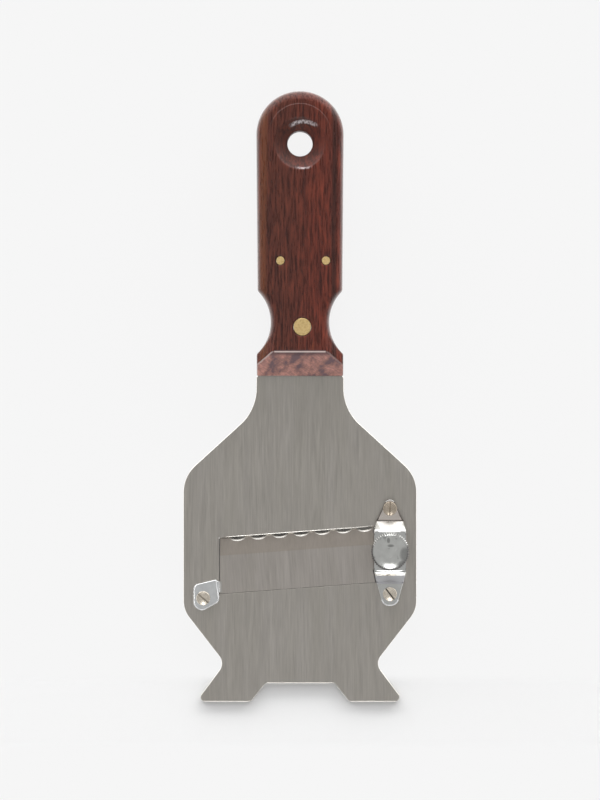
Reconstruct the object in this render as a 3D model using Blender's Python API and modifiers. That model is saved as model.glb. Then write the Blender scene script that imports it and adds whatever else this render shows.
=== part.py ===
"""Truffle slicer: a steel plate in a wooden handle, with a scalloped blade in a slot of the plate.

The blade rocks under a screw at its left end, and a thumb screw on a bridge lifts its right end.

The sizes below are in metres. Heights along the slicer (Y) are measured from the line of its feet,
and Z from the middle of the plate, with +Z towards the truffle. The empty that carries the pieces
moves them, so that the world's origin lies under the middle of the slicer, on the plane of the
handle's back.
"""

import math

import bmesh
import bpy
from mathutils import Matrix, Vector

# Clearances
SEAT_GAP = 0.0003
BORE_CLEARANCE = 0.0001
RUNNING_CLEARANCE = 0.0003

# Plate
PLATE_THICKNESS = 0.0015
PLATE_HALF_WIDTH = 0.0410
PLATE_SHOULDER_HEIGHT = 0.0234
PLATE_SHOULDER_RADIUS = 0.0127
PLATE_NECK_LENGTH = 0.0116
PLATE_NECK_RADIUS = 0.0170
PLATE_SIDE_END_Y = 0.0322
PLATE_SIDE_END_RADIUS = 0.0095
PLATE_WAIST_HALF_WIDTH = 0.0265
PLATE_WAIST_Y = 0.0135
PLATE_WAIST_RADIUS = 0.0041
FOOT_OUTER_HALF_WIDTH = 0.0366
FOOT_INNER_HALF_WIDTH = 0.0173
FOOT_CORNER_RADIUS = 0.0016
NOTCH_HALF_WIDTH = 0.0121
NOTCH_DEPTH = 0.0065
NOTCH_CORNER_RADIUS = 0.0015

# Slot of the blade, a parallelogram that climbs to the right, with setbacks from the plate's sides
SLOT_LEFT_SETBACK = 0.0126
SLOT_RIGHT_SETBACK = 0.0058
SLOT_BOTTOM_Y = 0.0378
SLOT_HEIGHT = 0.0197
SLOT_CLIMB = math.radians(4.2)

# Handle
HANDLE_LENGTH = 0.1002
HANDLE_END_Y = 0.1143
HANDLE_THICKNESS = 0.0170
HANDLE_HALF_WIDTH = 0.01535
HANDLE_CORNER_SETBACK = 0.00045
HANDLE_FOOT_SETBACK = 0.00015
HANDLE_WAIST_SETBACK = 0.00505
HANDLE_WAIST_RADIUS = 0.0153
HANDLE_WAIST_HEIGHT = 0.0191
HANDLE_EDGE_RADIUS = 0.0035
HANDLE_LIP = 0.0005
FACET_LENGTH = 0.0090
CHAMFER_HALF_WIDTH = 0.0092
CHAMFER_WIDTH = 0.0053
CHAMFER_DROP = 0.0038
CHAMFER_CREEP = 0.0011
HOLE_RADIUS = 0.00445
HOLE_SETBACK = 0.0185
DISH_RADIUS = 0.0090
DISH_DEPTH = 0.0030
TANG_PAST_PINS = 0.0046
TANG_INSET = 0.0002

# Brass
RIVET_RADIUS = 0.00305
RIVET_HEIGHT = 0.0174
RIVET_OFFSET = 0.0008
PIN_RADIUS = 0.00143
PIN_HALF_SPACING = 0.0080
PIN_HEIGHT = 0.0406
PIN_OFFSET = 0.0011

# Blade
BLADE_THICKNESS = 0.0010
BLADE_GRIND_WIDTH = 0.0061
BLADE_EDGE_THICKNESS = 0.00015
SCALLOP_PITCH = 0.00745
SCALLOP_START = 0.00665
SCALLOP_CHORD = 0.0056
SCALLOP_DEPTH = 0.0008
SCALLOP_SLOPE = math.radians(60)
TONGUE_GAP = 0.0003
TONGUE_HALF_HEIGHT = 0.0065
TONGUE_CORNER_RADIUS = 0.0020
EAR_SCREW_REACH = 0.0056
EAR_SCREW_DROP = 0.0014
EAR_LEFT = 0.0034
EAR_LEFT_DROP = 0.0027
EAR_TOP_LEFT_RISE = 0.0047
EAR_TOP_RIGHT = 0.0048
EAR_TOP_RIGHT_RISE = 0.0067
EAR_RIGHT = 0.0058
EAR_RIGHT_DROP = 0.0012
EAR_TIP_LEFT = 0.0008
EAR_TIP_DROP = 0.0048
EAR_CORNER_RADIUS = 0.0012
EAR_TOP_RIGHT_RADIUS = 0.0006
JOG_START = 0.0003
JOG_END = 0.0010
JOG_INSET = 0.00005
JOG_SIDE_INSET = 0.0002
JOG_TOP_INSET = 0.0008

# Slotted screws and their nuts
SCREW_SHANK_RADIUS = 0.00125
SCREW_HEAD_RADIUS = 0.00245
SCREW_HEAD_RIM = 0.0008
SCREW_HEAD_CROWN = 0.0007
SCREW_SLOT_WIDTH = 0.0006
SCREW_SLOT_DEPTH = 0.0007
SCREW_END_LENGTH = 0.0003
BLADE_SCREW_TURN = math.radians(-40)
UPPER_SCREW_TURN = math.radians(88)
LOWER_SCREW_TURN = math.radians(-52)
NUT_ACROSS_FLATS = 0.0050
NUT_THICKNESS = 0.0016

# Bridge, a bent strap over the right end of the blade
BRIDGE_SETBACK = 0.0094
BRIDGE_RISE = 0.00084
BRIDGE_THICKNESS = 0.0015
BRIDGE_HEADROOM = 0.0009
BRIDGE_SCREW_REACH = 0.00425
BRIDGE_UPPER_END = 0.0032
BRIDGE_LOWER_END = 0.0042
BRIDGE_UPPER_END_HALF_WIDTH = 0.0013
BRIDGE_LOWER_END_HALF_WIDTH = 0.0025
BRIDGE_UPPER_END_RADIUS = 0.0019
BRIDGE_LOWER_END_RADIUS = 0.0029
BRIDGE_HALF_WIDTH = 0.0058
BRIDGE_MIDDLE_HALF_LENGTH = 0.0065
BRIDGE_BEND_HALF_WIDTH = 0.0048
BRIDGE_BEND_HALF_LENGTH = 0.01075
BRIDGE_TOP_HALF_LENGTH = 0.0073
BRIDGE_BEND_RADIUS = 0.0006

# Thumb screw, its washer and its snap ring
THREAD_RADIUS = 0.0020
THREAD_CLEARANCE = 0.00008
THREAD_PITCH = 0.0007
THREAD_TURNS = 4
KNOB_RADIUS = 0.0068
KNOB_THICKNESS = 0.0030
KNOB_CHAMFER = 0.0005
KNURL_COUNT = 50
KNURL_DEPTH = 0.0003
JOURNAL_RADIUS = 0.0012
WASHER_RADIUS = 0.0034
WASHER_THICKNESS = 0.0005
RING_RADIUS = 0.0025
RING_THICKNESS = 0.0004
RING_MOUTH = 0.0016
GROOVE_DEPTH = 0.00025
TIP_LENGTH = 0.0006
TIP_CHAMFER = 0.0003

# Fineness of round stretches
ARC_STEP = math.radians(10)
SMALL_SEGMENTS = 24
LARGE_SEGMENTS = 48
EDGE_SEGMENTS = 5
DISH_STEPS = 6
CROWN_STEPS = 4
WELD_DISTANCE = 0.000001
SMOOTH_ANGLE = math.radians(35)
FACE_EDGE_ANGLE = math.radians(60)
FLAT_ANGLE = math.radians(1)

# Flat outlines are drawn larger by this and then scaled back, because small ones fill coarsely
DRAWING_SCALE = 1000.0

# Room by which a cutter runs past what it cuts
OVERCUT = 0.0020

# Colours, linear, with roughness and metallic values
SATIN_STEEL = ((0.275, 0.258, 0.232), 0.38, 1.0)
POLISHED_STEEL = ((0.620, 0.640, 0.660), 0.10, 1.0)
GROUND_STEEL = ((0.250, 0.235, 0.215), 0.30, 1.0)
NICKEL = ((0.420, 0.360, 0.270), 0.25, 1.0)
BRASS = ((0.640, 0.480, 0.190), 0.30, 1.0)
ROSEWOOD = ((0.098, 0.030, 0.021), 0.28, 0.0)

# Heights above the middle of the plate
PLATE_FRONT_Z = PLATE_THICKNESS / 2
PLATE_BACK_Z = -PLATE_THICKNESS / 2
SEAT_Z = PLATE_FRONT_Z + SEAT_GAP
LIFT = THREAD_PITCH * THREAD_TURNS
BRIDGE_FOOT_TOP_Z = SEAT_Z + BRIDGE_THICKNESS
BRIDGE_UNDERSIDE_Z = SEAT_Z + WASHER_THICKNESS + LIFT + BRIDGE_HEADROOM
BRIDGE_TOP_Z = BRIDGE_UNDERSIDE_Z + BRIDGE_THICKNESS
BLADE_BACK_Z = PLATE_FRONT_Z - BLADE_THICKNESS
EAR_TOP_Z = SEAT_Z + BLADE_THICKNESS
KERF_THICKNESS = PLATE_THICKNESS + 2 * SEAT_GAP

# Widths from the middle of the slicer
SLOT_LEFT_X = SLOT_LEFT_SETBACK - PLATE_HALF_WIDTH
SLOT_RIGHT_X = PLATE_HALF_WIDTH - SLOT_RIGHT_SETBACK
SCALLOP_FIRST_X = SLOT_LEFT_X + SCALLOP_START
EAR_SCREW_X = SLOT_LEFT_X - EAR_SCREW_REACH
BRIDGE_X = PLATE_HALF_WIDTH - BRIDGE_SETBACK
PLATE_NECK_HALF_WIDTH = HANDLE_HALF_WIDTH
HANDLE_CORNER_HALF_WIDTH = HANDLE_HALF_WIDTH - HANDLE_CORNER_SETBACK
HANDLE_FOOT_HALF_WIDTH = HANDLE_HALF_WIDTH - HANDLE_FOOT_SETBACK
HANDLE_WAIST_HALF_WIDTH = HANDLE_HALF_WIDTH - HANDLE_WAIST_SETBACK

# Heights along the slicer
PLATE_NECK_Y = HANDLE_END_Y - PLATE_NECK_LENGTH
PLATE_SHOULDER_Y = PLATE_NECK_Y - PLATE_SHOULDER_HEIGHT
EAR_SCREW_Y = SLOT_BOTTOM_Y - EAR_SCREW_DROP
SLOT_MIDDLE_Y = SLOT_BOTTOM_Y + SLOT_HEIGHT / 2 + (BRIDGE_X - SLOT_LEFT_X) * math.tan(SLOT_CLIMB)
BRIDGE_Y = SLOT_MIDDLE_Y + BRIDGE_RISE
BRIDGE_SCREW_HALF_SPACING = BRIDGE_BEND_HALF_LENGTH + BRIDGE_SCREW_REACH
HANDLE_TOP_Y = HANDLE_END_Y + HANDLE_LENGTH
HANDLE_ARC_Y = HANDLE_TOP_Y - HANDLE_HALF_WIDTH
HANDLE_WAIST_Y = HANDLE_END_Y + HANDLE_WAIST_HEIGHT
TANG_TOP_Y = HANDLE_END_Y + PIN_HEIGHT + TANG_PAST_PINS


def clear_scene():
    """Take every object out of the file."""
    for piece in list(bpy.data.objects):
        bpy.data.objects.remove(piece, do_unlink=True)


def new_collection(name):
    """A collection of the scene."""
    collection = bpy.data.collections.new(name)
    bpy.context.scene.collection.children.link(collection)
    return collection


def new_material(name, look):
    """A Principled material from a colour, a roughness and a metallic value."""
    colour, roughness, metallic = look
    material = bpy.data.materials.new(name)
    material.use_nodes = True
    material.diffuse_color = (*colour, 1.0)
    shader = material.node_tree.nodes["Principled BSDF"]
    shader.inputs["Base Color"].default_value = (*colour, 1.0)
    shader.inputs["Roughness"].default_value = roughness
    shader.inputs["Metallic"].default_value = metallic
    return material


def place(piece, collection, origin, location=(0.0, 0.0, 0.0)):
    """Put an object in a collection and under the empty that carries the slicer."""
    collection.objects.link(piece)
    piece.parent = origin
    piece.location = location
    return piece


def finish(piece, look, smooth=True):
    """Give a piece its material and smooth its round stretches, if it has any."""
    piece.data.materials.clear()
    piece.data.materials.append(new_material(piece.name, look))
    if smooth:
        piece.data.shade_smooth()
        piece.data.set_sharp_from_angle(angle=SMOOTH_ANGLE)
    return piece


def as_cutter(piece):
    """Mark an object as one that only cuts or joins others."""
    piece.hide_render = True
    piece.display_type = "WIRE"
    return piece


def combine(piece, other, operation):
    """Cut, join or intersect a piece with another object."""
    modifier = piece.modifiers.new(operation.lower() + "_" + other.name, "BOOLEAN")
    modifier.operation = operation
    modifier.solver = "EXACT"
    modifier.object = other
    return piece


def arc_points(centre, radius, start, sweep):
    """Points along an arc, both ends included, no further apart than ARC_STEP."""
    steps = max(1, math.ceil(abs(sweep) / ARC_STEP))
    points = []
    for step in range(steps + 1):
        angle = start + sweep * step / steps
        points.append((centre[0] + radius * math.cos(angle), centre[1] + radius * math.sin(angle)))
    return points


def circle_points(x, y, radius, segments=SMALL_SEGMENTS):
    """Points round a circle."""
    points = []
    for step in range(segments):
        angle = math.tau * step / segments
        points.append((x + radius * math.cos(angle), y + radius * math.sin(angle)))
    return points


def corner_sides(corners, index):
    """The two sides of a corner of an outline, as vectors to the corner before and the one after."""
    corner = Vector(corners[index][:2])
    backward = Vector(corners[index - 1][:2]) - corner
    forward = Vector(corners[(index + 1) % len(corners)][:2]) - corner
    return backward, forward


def corner_reaches(corners):
    """How far along its sides each corner's rounding goes, less where two would meet on a side."""
    wanted = []
    for index, (_, _, radius) in enumerate(corners):
        backward, forward = corner_sides(corners, index)
        wanted.append(radius / math.tan(backward.angle(forward) / 2))
    reaches = []
    for index, reach in enumerate(wanted):
        backward, forward = corner_sides(corners, index)
        before = backward.length * reach / max(reach + wanted[index - 1], backward.length)
        after = forward.length * reach / max(reach + wanted[(index + 1) % len(corners)], forward.length)
        reaches.append(min(before, after))
    return reaches


def rounded_outline(corners):
    """A closed outline through corners (x, y, radius), each rounded by its radius."""
    points = []
    reaches = corner_reaches(corners)
    for index, (x, y, _) in enumerate(corners):
        corner = Vector((x, y))
        reach = reaches[index]
        if reach == 0.0:
            points.append((x, y))
            continue
        backward, forward = corner_sides(corners, index)
        backward.normalize()
        forward.normalize()
        half_angle = backward.angle(forward) / 2
        radius = reach * math.tan(half_angle)
        centre = corner + (backward + forward).normalized() * radius / math.sin(half_angle)
        first = corner + backward * reach - centre
        last = corner + forward * reach - centre
        start = math.atan2(first.y, first.x)
        turn = math.atan2(last.y, last.x) - start
        sweep = (turn + math.pi) % math.tau - math.pi
        points.extend(arc_points(centre, radius, start, sweep))
    return points


def mirrored(right_half):
    """Both halves of a list of corners (x, y, radius) that runs up the right side."""
    left_half = []
    for x, y, radius in reversed(right_half):
        left_half.append((-x, y, radius))
    return right_half + left_half


def flat_mesh(name, outline, thickness, holes=()):
    """A flat piece as a mesh object, half its thickness above and half below z = 0."""
    curve = bpy.data.curves.new(name, "CURVE")
    curve.dimensions = "2D"
    curve.fill_mode = "BOTH"
    curve.extrude = DRAWING_SCALE * thickness / 2
    curve.render_resolution_u = 0
    for loop in (outline, *holes):
        spline = curve.splines.new("POLY")
        spline.points.add(len(loop) - 1)
        for point, (x, y) in zip(spline.points, loop):
            point.co = (DRAWING_SCALE * x, DRAWING_SCALE * y, 0.0, 1.0)
        spline.use_cyclic_u = True
    drawing = bpy.data.objects.new(name, curve)
    bpy.context.scene.collection.objects.link(drawing)
    depsgraph = bpy.context.evaluated_depsgraph_get()
    mesh = bpy.data.meshes.new_from_object(drawing.evaluated_get(depsgraph))
    shell = bmesh.new()
    shell.from_mesh(mesh)
    shell.transform(Matrix.Scale(1 / DRAWING_SCALE, 4))
    bmesh.ops.remove_doubles(shell, verts=shell.verts, dist=WELD_DISTANCE)
    bmesh.ops.recalc_face_normals(shell, faces=shell.faces)
    shell.to_mesh(mesh)
    shell.free()
    mesh.name = name
    piece = bpy.data.objects.new(name, mesh)
    piece.matrix_world = drawing.matrix_world
    bpy.data.objects.remove(drawing)
    bpy.data.curves.remove(curve)
    piece.name = name
    return piece


def merge_flat_faces(piece):
    """Make one face of the triangles of each flat side, so that its edges can be rounded."""
    shell = bmesh.new()
    shell.from_mesh(piece.data)
    bmesh.ops.dissolve_limit(shell, angle_limit=FLAT_ANGLE, verts=shell.verts, edges=shell.edges)
    shell.to_mesh(piece.data)
    shell.free()


def standing_mesh(name, outline, width):
    """A piece whose outline (y, z) is seen from the side, half its width on each side of x = 0."""
    piece = flat_mesh(name, outline, width)
    piece.data.transform(Matrix.Rotation(math.pi / 2, 4, "Z") @ Matrix.Rotation(math.pi / 2, 4, "X"))
    return piece


def turned_mesh(name, profile, segments, closed=False):
    """A turned piece about Z, from a profile (radius, z) that runs down its outer side."""
    mesh = bpy.data.meshes.new(name)
    half_section = bmesh.new()
    corners = []
    for radius, z in profile:
        corners.append(half_section.verts.new((radius, 0.0, z)))
    for first, second in zip(corners, corners[1:]):
        half_section.edges.new((first, second))
    if closed:
        half_section.edges.new((corners[-1], corners[0]))
    half_section.to_mesh(mesh)
    half_section.free()
    piece = bpy.data.objects.new(name, mesh)
    screw = piece.modifiers.new("turning", "SCREW")
    screw.steps = segments
    screw.render_steps = segments
    screw.use_merge_vertices = True
    screw.merge_threshold = WELD_DISTANCE
    return piece


def prism_mesh(name, radius, height, segments):
    """An upright prism or cylinder that stands on z = 0."""
    mesh = bpy.data.meshes.new(name)
    solid = bmesh.new()
    bmesh.ops.create_cone(solid, cap_ends=True, segments=segments, radius1=radius,
                          radius2=radius, depth=height, matrix=Matrix.Translation((0, 0, height / 2)))
    solid.to_mesh(mesh)
    solid.free()
    return bpy.data.objects.new(name, mesh)


def box_mesh(name, size):
    """A box about its own centre."""
    mesh = bpy.data.meshes.new(name)
    solid = bmesh.new()
    bmesh.ops.create_cube(solid, size=1.0, matrix=Matrix.Diagonal((*size, 1.0)))
    solid.to_mesh(mesh)
    solid.free()
    return bpy.data.objects.new(name, mesh)


def slot_y(x, y_at_left):
    """Height at x of a line that climbs with the slot's long edges."""
    return y_at_left + (x - SLOT_LEFT_X) * math.tan(SLOT_CLIMB)


def slot_outline():
    """The slot in the plate."""
    top_y = SLOT_BOTTOM_Y + SLOT_HEIGHT
    return [
        (SLOT_LEFT_X, SLOT_BOTTOM_Y),
        (SLOT_RIGHT_X, slot_y(SLOT_RIGHT_X, SLOT_BOTTOM_Y)),
        (SLOT_RIGHT_X, slot_y(SLOT_RIGHT_X, top_y)),
        (SLOT_LEFT_X, top_y),
    ]


def waist_arc():
    """The hollow in the handle's right side, from its lower corner up to its upper one."""
    centre_x = HANDLE_WAIST_HALF_WIDTH + HANDLE_WAIST_RADIUS
    low = math.acos((centre_x - HANDLE_FOOT_HALF_WIDTH) / HANDLE_WAIST_RADIUS)
    high = math.acos((centre_x - HANDLE_CORNER_HALF_WIDTH) / HANDLE_WAIST_RADIUS)
    return arc_points((centre_x, HANDLE_WAIST_Y), HANDLE_WAIST_RADIUS, math.pi + low, -low - high)


def tang_side():
    """The tang's right side inside the handle, which follows the wood a little further in."""
    side = [(HANDLE_FOOT_HALF_WIDTH - TANG_INSET, HANDLE_END_Y)]
    for x, y in waist_arc():
        side.append((x - TANG_INSET, y))
    side.append((HANDLE_CORNER_HALF_WIDTH - TANG_INSET, TANG_TOP_Y))
    return side


def plate_outline():
    """The plate with its feet, its shoulders and its tang."""
    right_half = [
        (NOTCH_HALF_WIDTH, NOTCH_DEPTH, NOTCH_CORNER_RADIUS),
        (FOOT_INNER_HALF_WIDTH, 0.0, FOOT_CORNER_RADIUS),
        (FOOT_OUTER_HALF_WIDTH, 0.0, FOOT_CORNER_RADIUS),
        (PLATE_WAIST_HALF_WIDTH, PLATE_WAIST_Y, PLATE_WAIST_RADIUS),
        (PLATE_HALF_WIDTH, PLATE_SIDE_END_Y, PLATE_SIDE_END_RADIUS),
        (PLATE_HALF_WIDTH, PLATE_SHOULDER_Y, PLATE_SHOULDER_RADIUS),
        (PLATE_NECK_HALF_WIDTH, PLATE_NECK_Y, PLATE_NECK_RADIUS),
        (PLATE_NECK_HALF_WIDTH, HANDLE_END_Y - SEAT_GAP, 0.0),
    ]
    for x, y in tang_side():
        right_half.append((x, y, 0.0))
    return rounded_outline(mirrored(right_half))


def fastener_places():
    """Where the slotted screws go: the name of each, its x and its y."""
    return (
        ("blade_screw", EAR_SCREW_X, EAR_SCREW_Y),
        ("bridge_screw_upper", BRIDGE_X, BRIDGE_Y + BRIDGE_SCREW_HALF_SPACING),
        ("bridge_screw_lower", BRIDGE_X, BRIDGE_Y - BRIDGE_SCREW_HALF_SPACING),
    )


def brass_places():
    """Where the brass goes, a little right of the handle's middle: name, x, y and radius."""
    pin_y = HANDLE_END_Y + PIN_HEIGHT
    return (
        ("rivet_large", RIVET_OFFSET, HANDLE_END_Y + RIVET_HEIGHT, RIVET_RADIUS),
        ("pin_left", PIN_OFFSET - PIN_HALF_SPACING, pin_y, PIN_RADIUS),
        ("pin_right", PIN_OFFSET + PIN_HALF_SPACING, pin_y, PIN_RADIUS),
    )


def slicer_plate(parts, origin):
    """The plate and its tang, with the slot, the screw holes and the holes for the brass."""
    holes = [slot_outline()]
    for _, x, y in fastener_places():
        holes.append(circle_points(x, y, SCREW_SHANK_RADIUS + BORE_CLEARANCE))
    for _, x, y, radius in brass_places():
        holes.append(circle_points(x, y, radius + BORE_CLEARANCE))
    plate = flat_mesh("slicer_plate", plate_outline(), PLATE_THICKNESS, holes)
    place(plate, parts, origin)
    return finish(plate, SATIN_STEEL)


def handle_outline():
    """The wood's outline, which runs past the end that the facets cut."""
    right_half = [(HANDLE_FOOT_HALF_WIDTH, HANDLE_END_Y - HANDLE_EDGE_RADIUS - OVERCUT)]
    right_half.extend(waist_arc())
    round_end = arc_points((0.0, HANDLE_ARC_Y), HANDLE_HALF_WIDTH, 0.0, math.pi)
    left_half = []
    for x, y in reversed(right_half):
        left_half.append((-x, y))
    return right_half + round_end + left_half


def facet_cutter():
    """What lies beyond the wood's end, whose two facets lean back to the handle's faces."""
    half_thickness = HANDLE_THICKNESS / 2
    lip_z = KERF_THICKNESS / 2 + HANDLE_LIP
    slope = FACET_LENGTH / (half_thickness - lip_z)
    far_z = half_thickness + OVERCUT
    far_y = HANDLE_END_Y + slope * (far_z - lip_z)
    clear_y = HANDLE_END_Y - HANDLE_EDGE_RADIUS - 2 * OVERCUT
    outline = [
        (HANDLE_END_Y, -lip_z),
        (HANDLE_END_Y, lip_z),
        (far_y, far_z),
        (clear_y, far_z),
        (clear_y, -far_z),
        (far_y, -far_z),
    ]
    return standing_mesh("facet_cutter", outline, 2 * (HANDLE_FOOT_HALF_WIDTH + OVERCUT))


def chamfer_cutter(side, face):
    """A block whose underside is the chamfer between a face and a side of the wood's lower end.

    side is 1 on the right and -1 on the left, and face is 1 on the front and -1 on the back.
    """
    face_z = face * HANDLE_THICKNESS / 2
    corner = Vector((side * CHAMFER_HALF_WIDTH, HANDLE_END_Y + FACET_LENGTH, face_z))
    outward = Vector((side * CHAMFER_WIDTH, 0.0, -face * CHAMFER_DROP)).normalized()
    run_out = Vector((side * (CHAMFER_HALF_WIDTH - CHAMFER_CREEP), HANDLE_WAIST_Y, face_z))
    upward = (run_out - corner).normalized()
    normal = outward.cross(upward) * side * face
    normal.normalize()
    across = upward.cross(normal)
    size = 2 * HANDLE_THICKNESS
    centre = run_out - upward * size / 2 + normal * size / 2
    block = box_mesh("chamfer_cutter", (size, size, size))
    turn = Matrix((across, upward, normal)).transposed().to_4x4()
    block.data.transform(Matrix.Translation(centre) @ turn)
    return block


def hole_cutter():
    """The hanging hole with a round dish on each face of the handle."""
    half_thickness = HANDLE_THICKNESS / 2
    rise = (DISH_RADIUS ** 2 - HOLE_RADIUS ** 2 - DISH_DEPTH ** 2) / (2 * DISH_DEPTH)
    bowl = math.hypot(DISH_RADIUS, rise)
    rim_angle = math.asin(DISH_RADIUS / bowl)
    bore_angle = math.asin(HOLE_RADIUS / bowl)
    wall = [(DISH_RADIUS, half_thickness + OVERCUT)]
    for step in range(DISH_STEPS + 1):
        angle = rim_angle + (bore_angle - rim_angle) * step / DISH_STEPS
        wall.append((bowl * math.sin(angle), half_thickness + rise - bowl * math.cos(angle)))
    profile = [(0.0, half_thickness + OVERCUT)] + wall
    for radius, z in reversed(wall):
        profile.append((radius, -z))
    profile.append((0.0, -half_thickness - OVERCUT))
    return turned_mesh("hole_cutter", profile, LARGE_SEGMENTS)


def handle(parts, cutters, origin):
    """The wooden handle, rounded along its edges and sawn open for the tang."""
    wood = flat_mesh("handle", handle_outline(), HANDLE_THICKNESS)
    merge_flat_faces(wood)
    place(wood, parts, origin)
    rounding = wood.modifiers.new("rounded_edges", "BEVEL")
    rounding.width = HANDLE_EDGE_RADIUS
    rounding.segments = EDGE_SEGMENTS
    rounding.use_clamp_overlap = False
    rounding.limit_method = "ANGLE"
    rounding.angle_limit = FACE_EDGE_ANGLE
    kerf_length = TANG_TOP_Y - HANDLE_END_Y + SEAT_GAP + HANDLE_EDGE_RADIUS + 2 * OVERCUT
    kerf = box_mesh("kerf_cutter", (2 * (HANDLE_HALF_WIDTH + OVERCUT), kerf_length, KERF_THICKNESS))
    kerf_y = TANG_TOP_Y + SEAT_GAP - kerf_length / 2
    place(kerf, cutters, origin, (0.0, kerf_y, 0.0))
    combine(wood, as_cutter(kerf), "DIFFERENCE")
    hole = place(hole_cutter(), cutters, origin, (0.0, HANDLE_TOP_Y - HOLE_SETBACK, 0.0))
    combine(wood, as_cutter(hole), "DIFFERENCE")
    for side in (1, -1):
        for face in (1, -1):
            chamfer = place(chamfer_cutter(side, face), cutters, origin)
            combine(wood, as_cutter(chamfer), "DIFFERENCE")
    facets = place(facet_cutter(), cutters, origin)
    combine(wood, as_cutter(facets), "DIFFERENCE")
    for name, x, y, radius in brass_places():
        length = HANDLE_THICKNESS + 2 * OVERCUT
        bore = prism_mesh(name + "_bore", radius + BORE_CLEARANCE, length, SMALL_SEGMENTS)
        place(bore, cutters, origin, (x, y, -length / 2))
        combine(wood, as_cutter(bore), "DIFFERENCE")
    return finish(wood, ROSEWOOD)


def brass_pieces(parts, origin):
    """The rivet and the two pins, flush with both faces of the handle."""
    for name, x, y, radius in brass_places():
        piece = prism_mesh(name, radius, HANDLE_THICKNESS, SMALL_SEGMENTS)
        place(piece, parts, origin, (x, y, -HANDLE_THICKNESS / 2))
        finish(piece, BRASS)


def bridge_half_width(distance):
    """Half the bridge's width at a distance from its middle, along its straight sides."""
    run = BRIDGE_BEND_HALF_LENGTH - BRIDGE_MIDDLE_HALF_LENGTH
    share = (distance - BRIDGE_MIDDLE_HALF_LENGTH) / run
    share = min(max(share, 0.0), 1.0)
    return BRIDGE_HALF_WIDTH + share * (BRIDGE_BEND_HALF_WIDTH - BRIDGE_HALF_WIDTH)


def blade_shoulder(y_at_left):
    """Where a long edge of the blade ends, just short of the bridge's side."""
    near_y = slot_y(BRIDGE_X - BRIDGE_HALF_WIDTH, y_at_left)
    x = BRIDGE_X - bridge_half_width(abs(near_y - BRIDGE_Y)) - TONGUE_GAP
    return (x, slot_y(x, y_at_left), 0.0)


def blade_outline():
    """The blade with a narrower tongue under the bridge, before its scallops are ground."""
    left = SLOT_LEFT_X + SEAT_GAP
    bottom_y = SLOT_BOTTOM_Y + SEAT_GAP
    top_y = SLOT_BOTTOM_Y + SLOT_HEIGHT - SEAT_GAP
    right = SLOT_RIGHT_X - SEAT_GAP
    tongue_left = BRIDGE_X - BRIDGE_HALF_WIDTH - TONGUE_GAP
    tongue_low = BRIDGE_Y - TONGUE_HALF_HEIGHT
    tongue_high = BRIDGE_Y + TONGUE_HALF_HEIGHT
    return rounded_outline([
        (left, bottom_y, 0.0),
        blade_shoulder(bottom_y),
        (tongue_left, tongue_low, 0.0),
        (right, tongue_low, TONGUE_CORNER_RADIUS),
        (right, tongue_high, TONGUE_CORNER_RADIUS),
        (tongue_left, tongue_high, 0.0),
        blade_shoulder(top_y),
        (left, top_y, 0.0),
    ])


def blade_edge_point(x):
    """The point of the blade's cutting edge at x."""
    return Vector((x, slot_y(x, SLOT_BOTTOM_Y + SLOT_HEIGHT - SEAT_GAP)))


def grind_cutter():
    """A block whose underside is the long grind along the blade's edge."""
    drop = BLADE_THICKNESS - BLADE_EDGE_THICKNESS
    tilt = math.atan2(drop, BLADE_GRIND_WIDTH)
    length = SLOT_RIGHT_X - SLOT_LEFT_X + 4 * OVERCUT
    depth = 2 * (BLADE_GRIND_WIDTH + OVERCUT)
    height = 2 * OVERCUT
    block = box_mesh("grind_cutter", (length, depth, height))
    middle = blade_edge_point((SLOT_LEFT_X + SLOT_RIGHT_X) / 2)
    edge = Vector((*middle, BLADE_BACK_Z + BLADE_EDGE_THICKNESS))
    turn = Matrix.Rotation(SLOT_CLIMB, 4, "Z") @ Matrix.Rotation(-tilt, 4, "X")
    block.data.transform(Matrix.Translation(edge) @ turn @ Matrix.Translation((0, 0, height / 2)))
    return block


def scallop_cutter(index):
    """A cone that grinds one scallop into the edge, wider towards the blade's front."""
    radius = (SCALLOP_CHORD ** 2 / 4 + SCALLOP_DEPTH ** 2) / (2 * SCALLOP_DEPTH)
    edge = blade_edge_point(SCALLOP_FIRST_X + index * SCALLOP_PITCH)
    away = Vector((-math.sin(SLOT_CLIMB), math.cos(SLOT_CLIMB)))
    centre = edge + away * (radius - SCALLOP_DEPTH)
    low_z = BLADE_BACK_Z - SEAT_GAP
    high_z = PLATE_FRONT_Z + SEAT_GAP
    growth = math.tan(SCALLOP_SLOPE)
    mesh = bpy.data.meshes.new("scallop_cutter")
    cone = bmesh.new()
    bmesh.ops.create_cone(cone, cap_ends=True, segments=2 * LARGE_SEGMENTS,
                          radius1=radius - growth * SEAT_GAP,
                          radius2=radius + growth * (high_z - BLADE_BACK_Z), depth=high_z - low_z)
    cone.to_mesh(mesh)
    cone.free()
    piece = bpy.data.objects.new("scallop_cutter", mesh)
    mesh.transform(Matrix.Translation((*centre, (low_z + high_z) / 2)))
    return piece


def ear_outline():
    """The ear of the blade, a shield round its screw that reaches the slot's left edge."""
    corners = (
        (-EAR_TIP_LEFT, -EAR_TIP_DROP, EAR_CORNER_RADIUS),
        (EAR_RIGHT, -EAR_RIGHT_DROP, EAR_CORNER_RADIUS),
        (EAR_TOP_RIGHT, EAR_TOP_RIGHT_RISE, EAR_TOP_RIGHT_RADIUS),
        (-EAR_LEFT, EAR_TOP_LEFT_RISE, EAR_CORNER_RADIUS),
        (-EAR_LEFT, -EAR_LEFT_DROP, EAR_CORNER_RADIUS),
    )
    placed = []
    for right, up, radius in corners:
        placed.append((EAR_SCREW_X + right, EAR_SCREW_Y + up, radius))
    return rounded_outline(placed)


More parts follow.
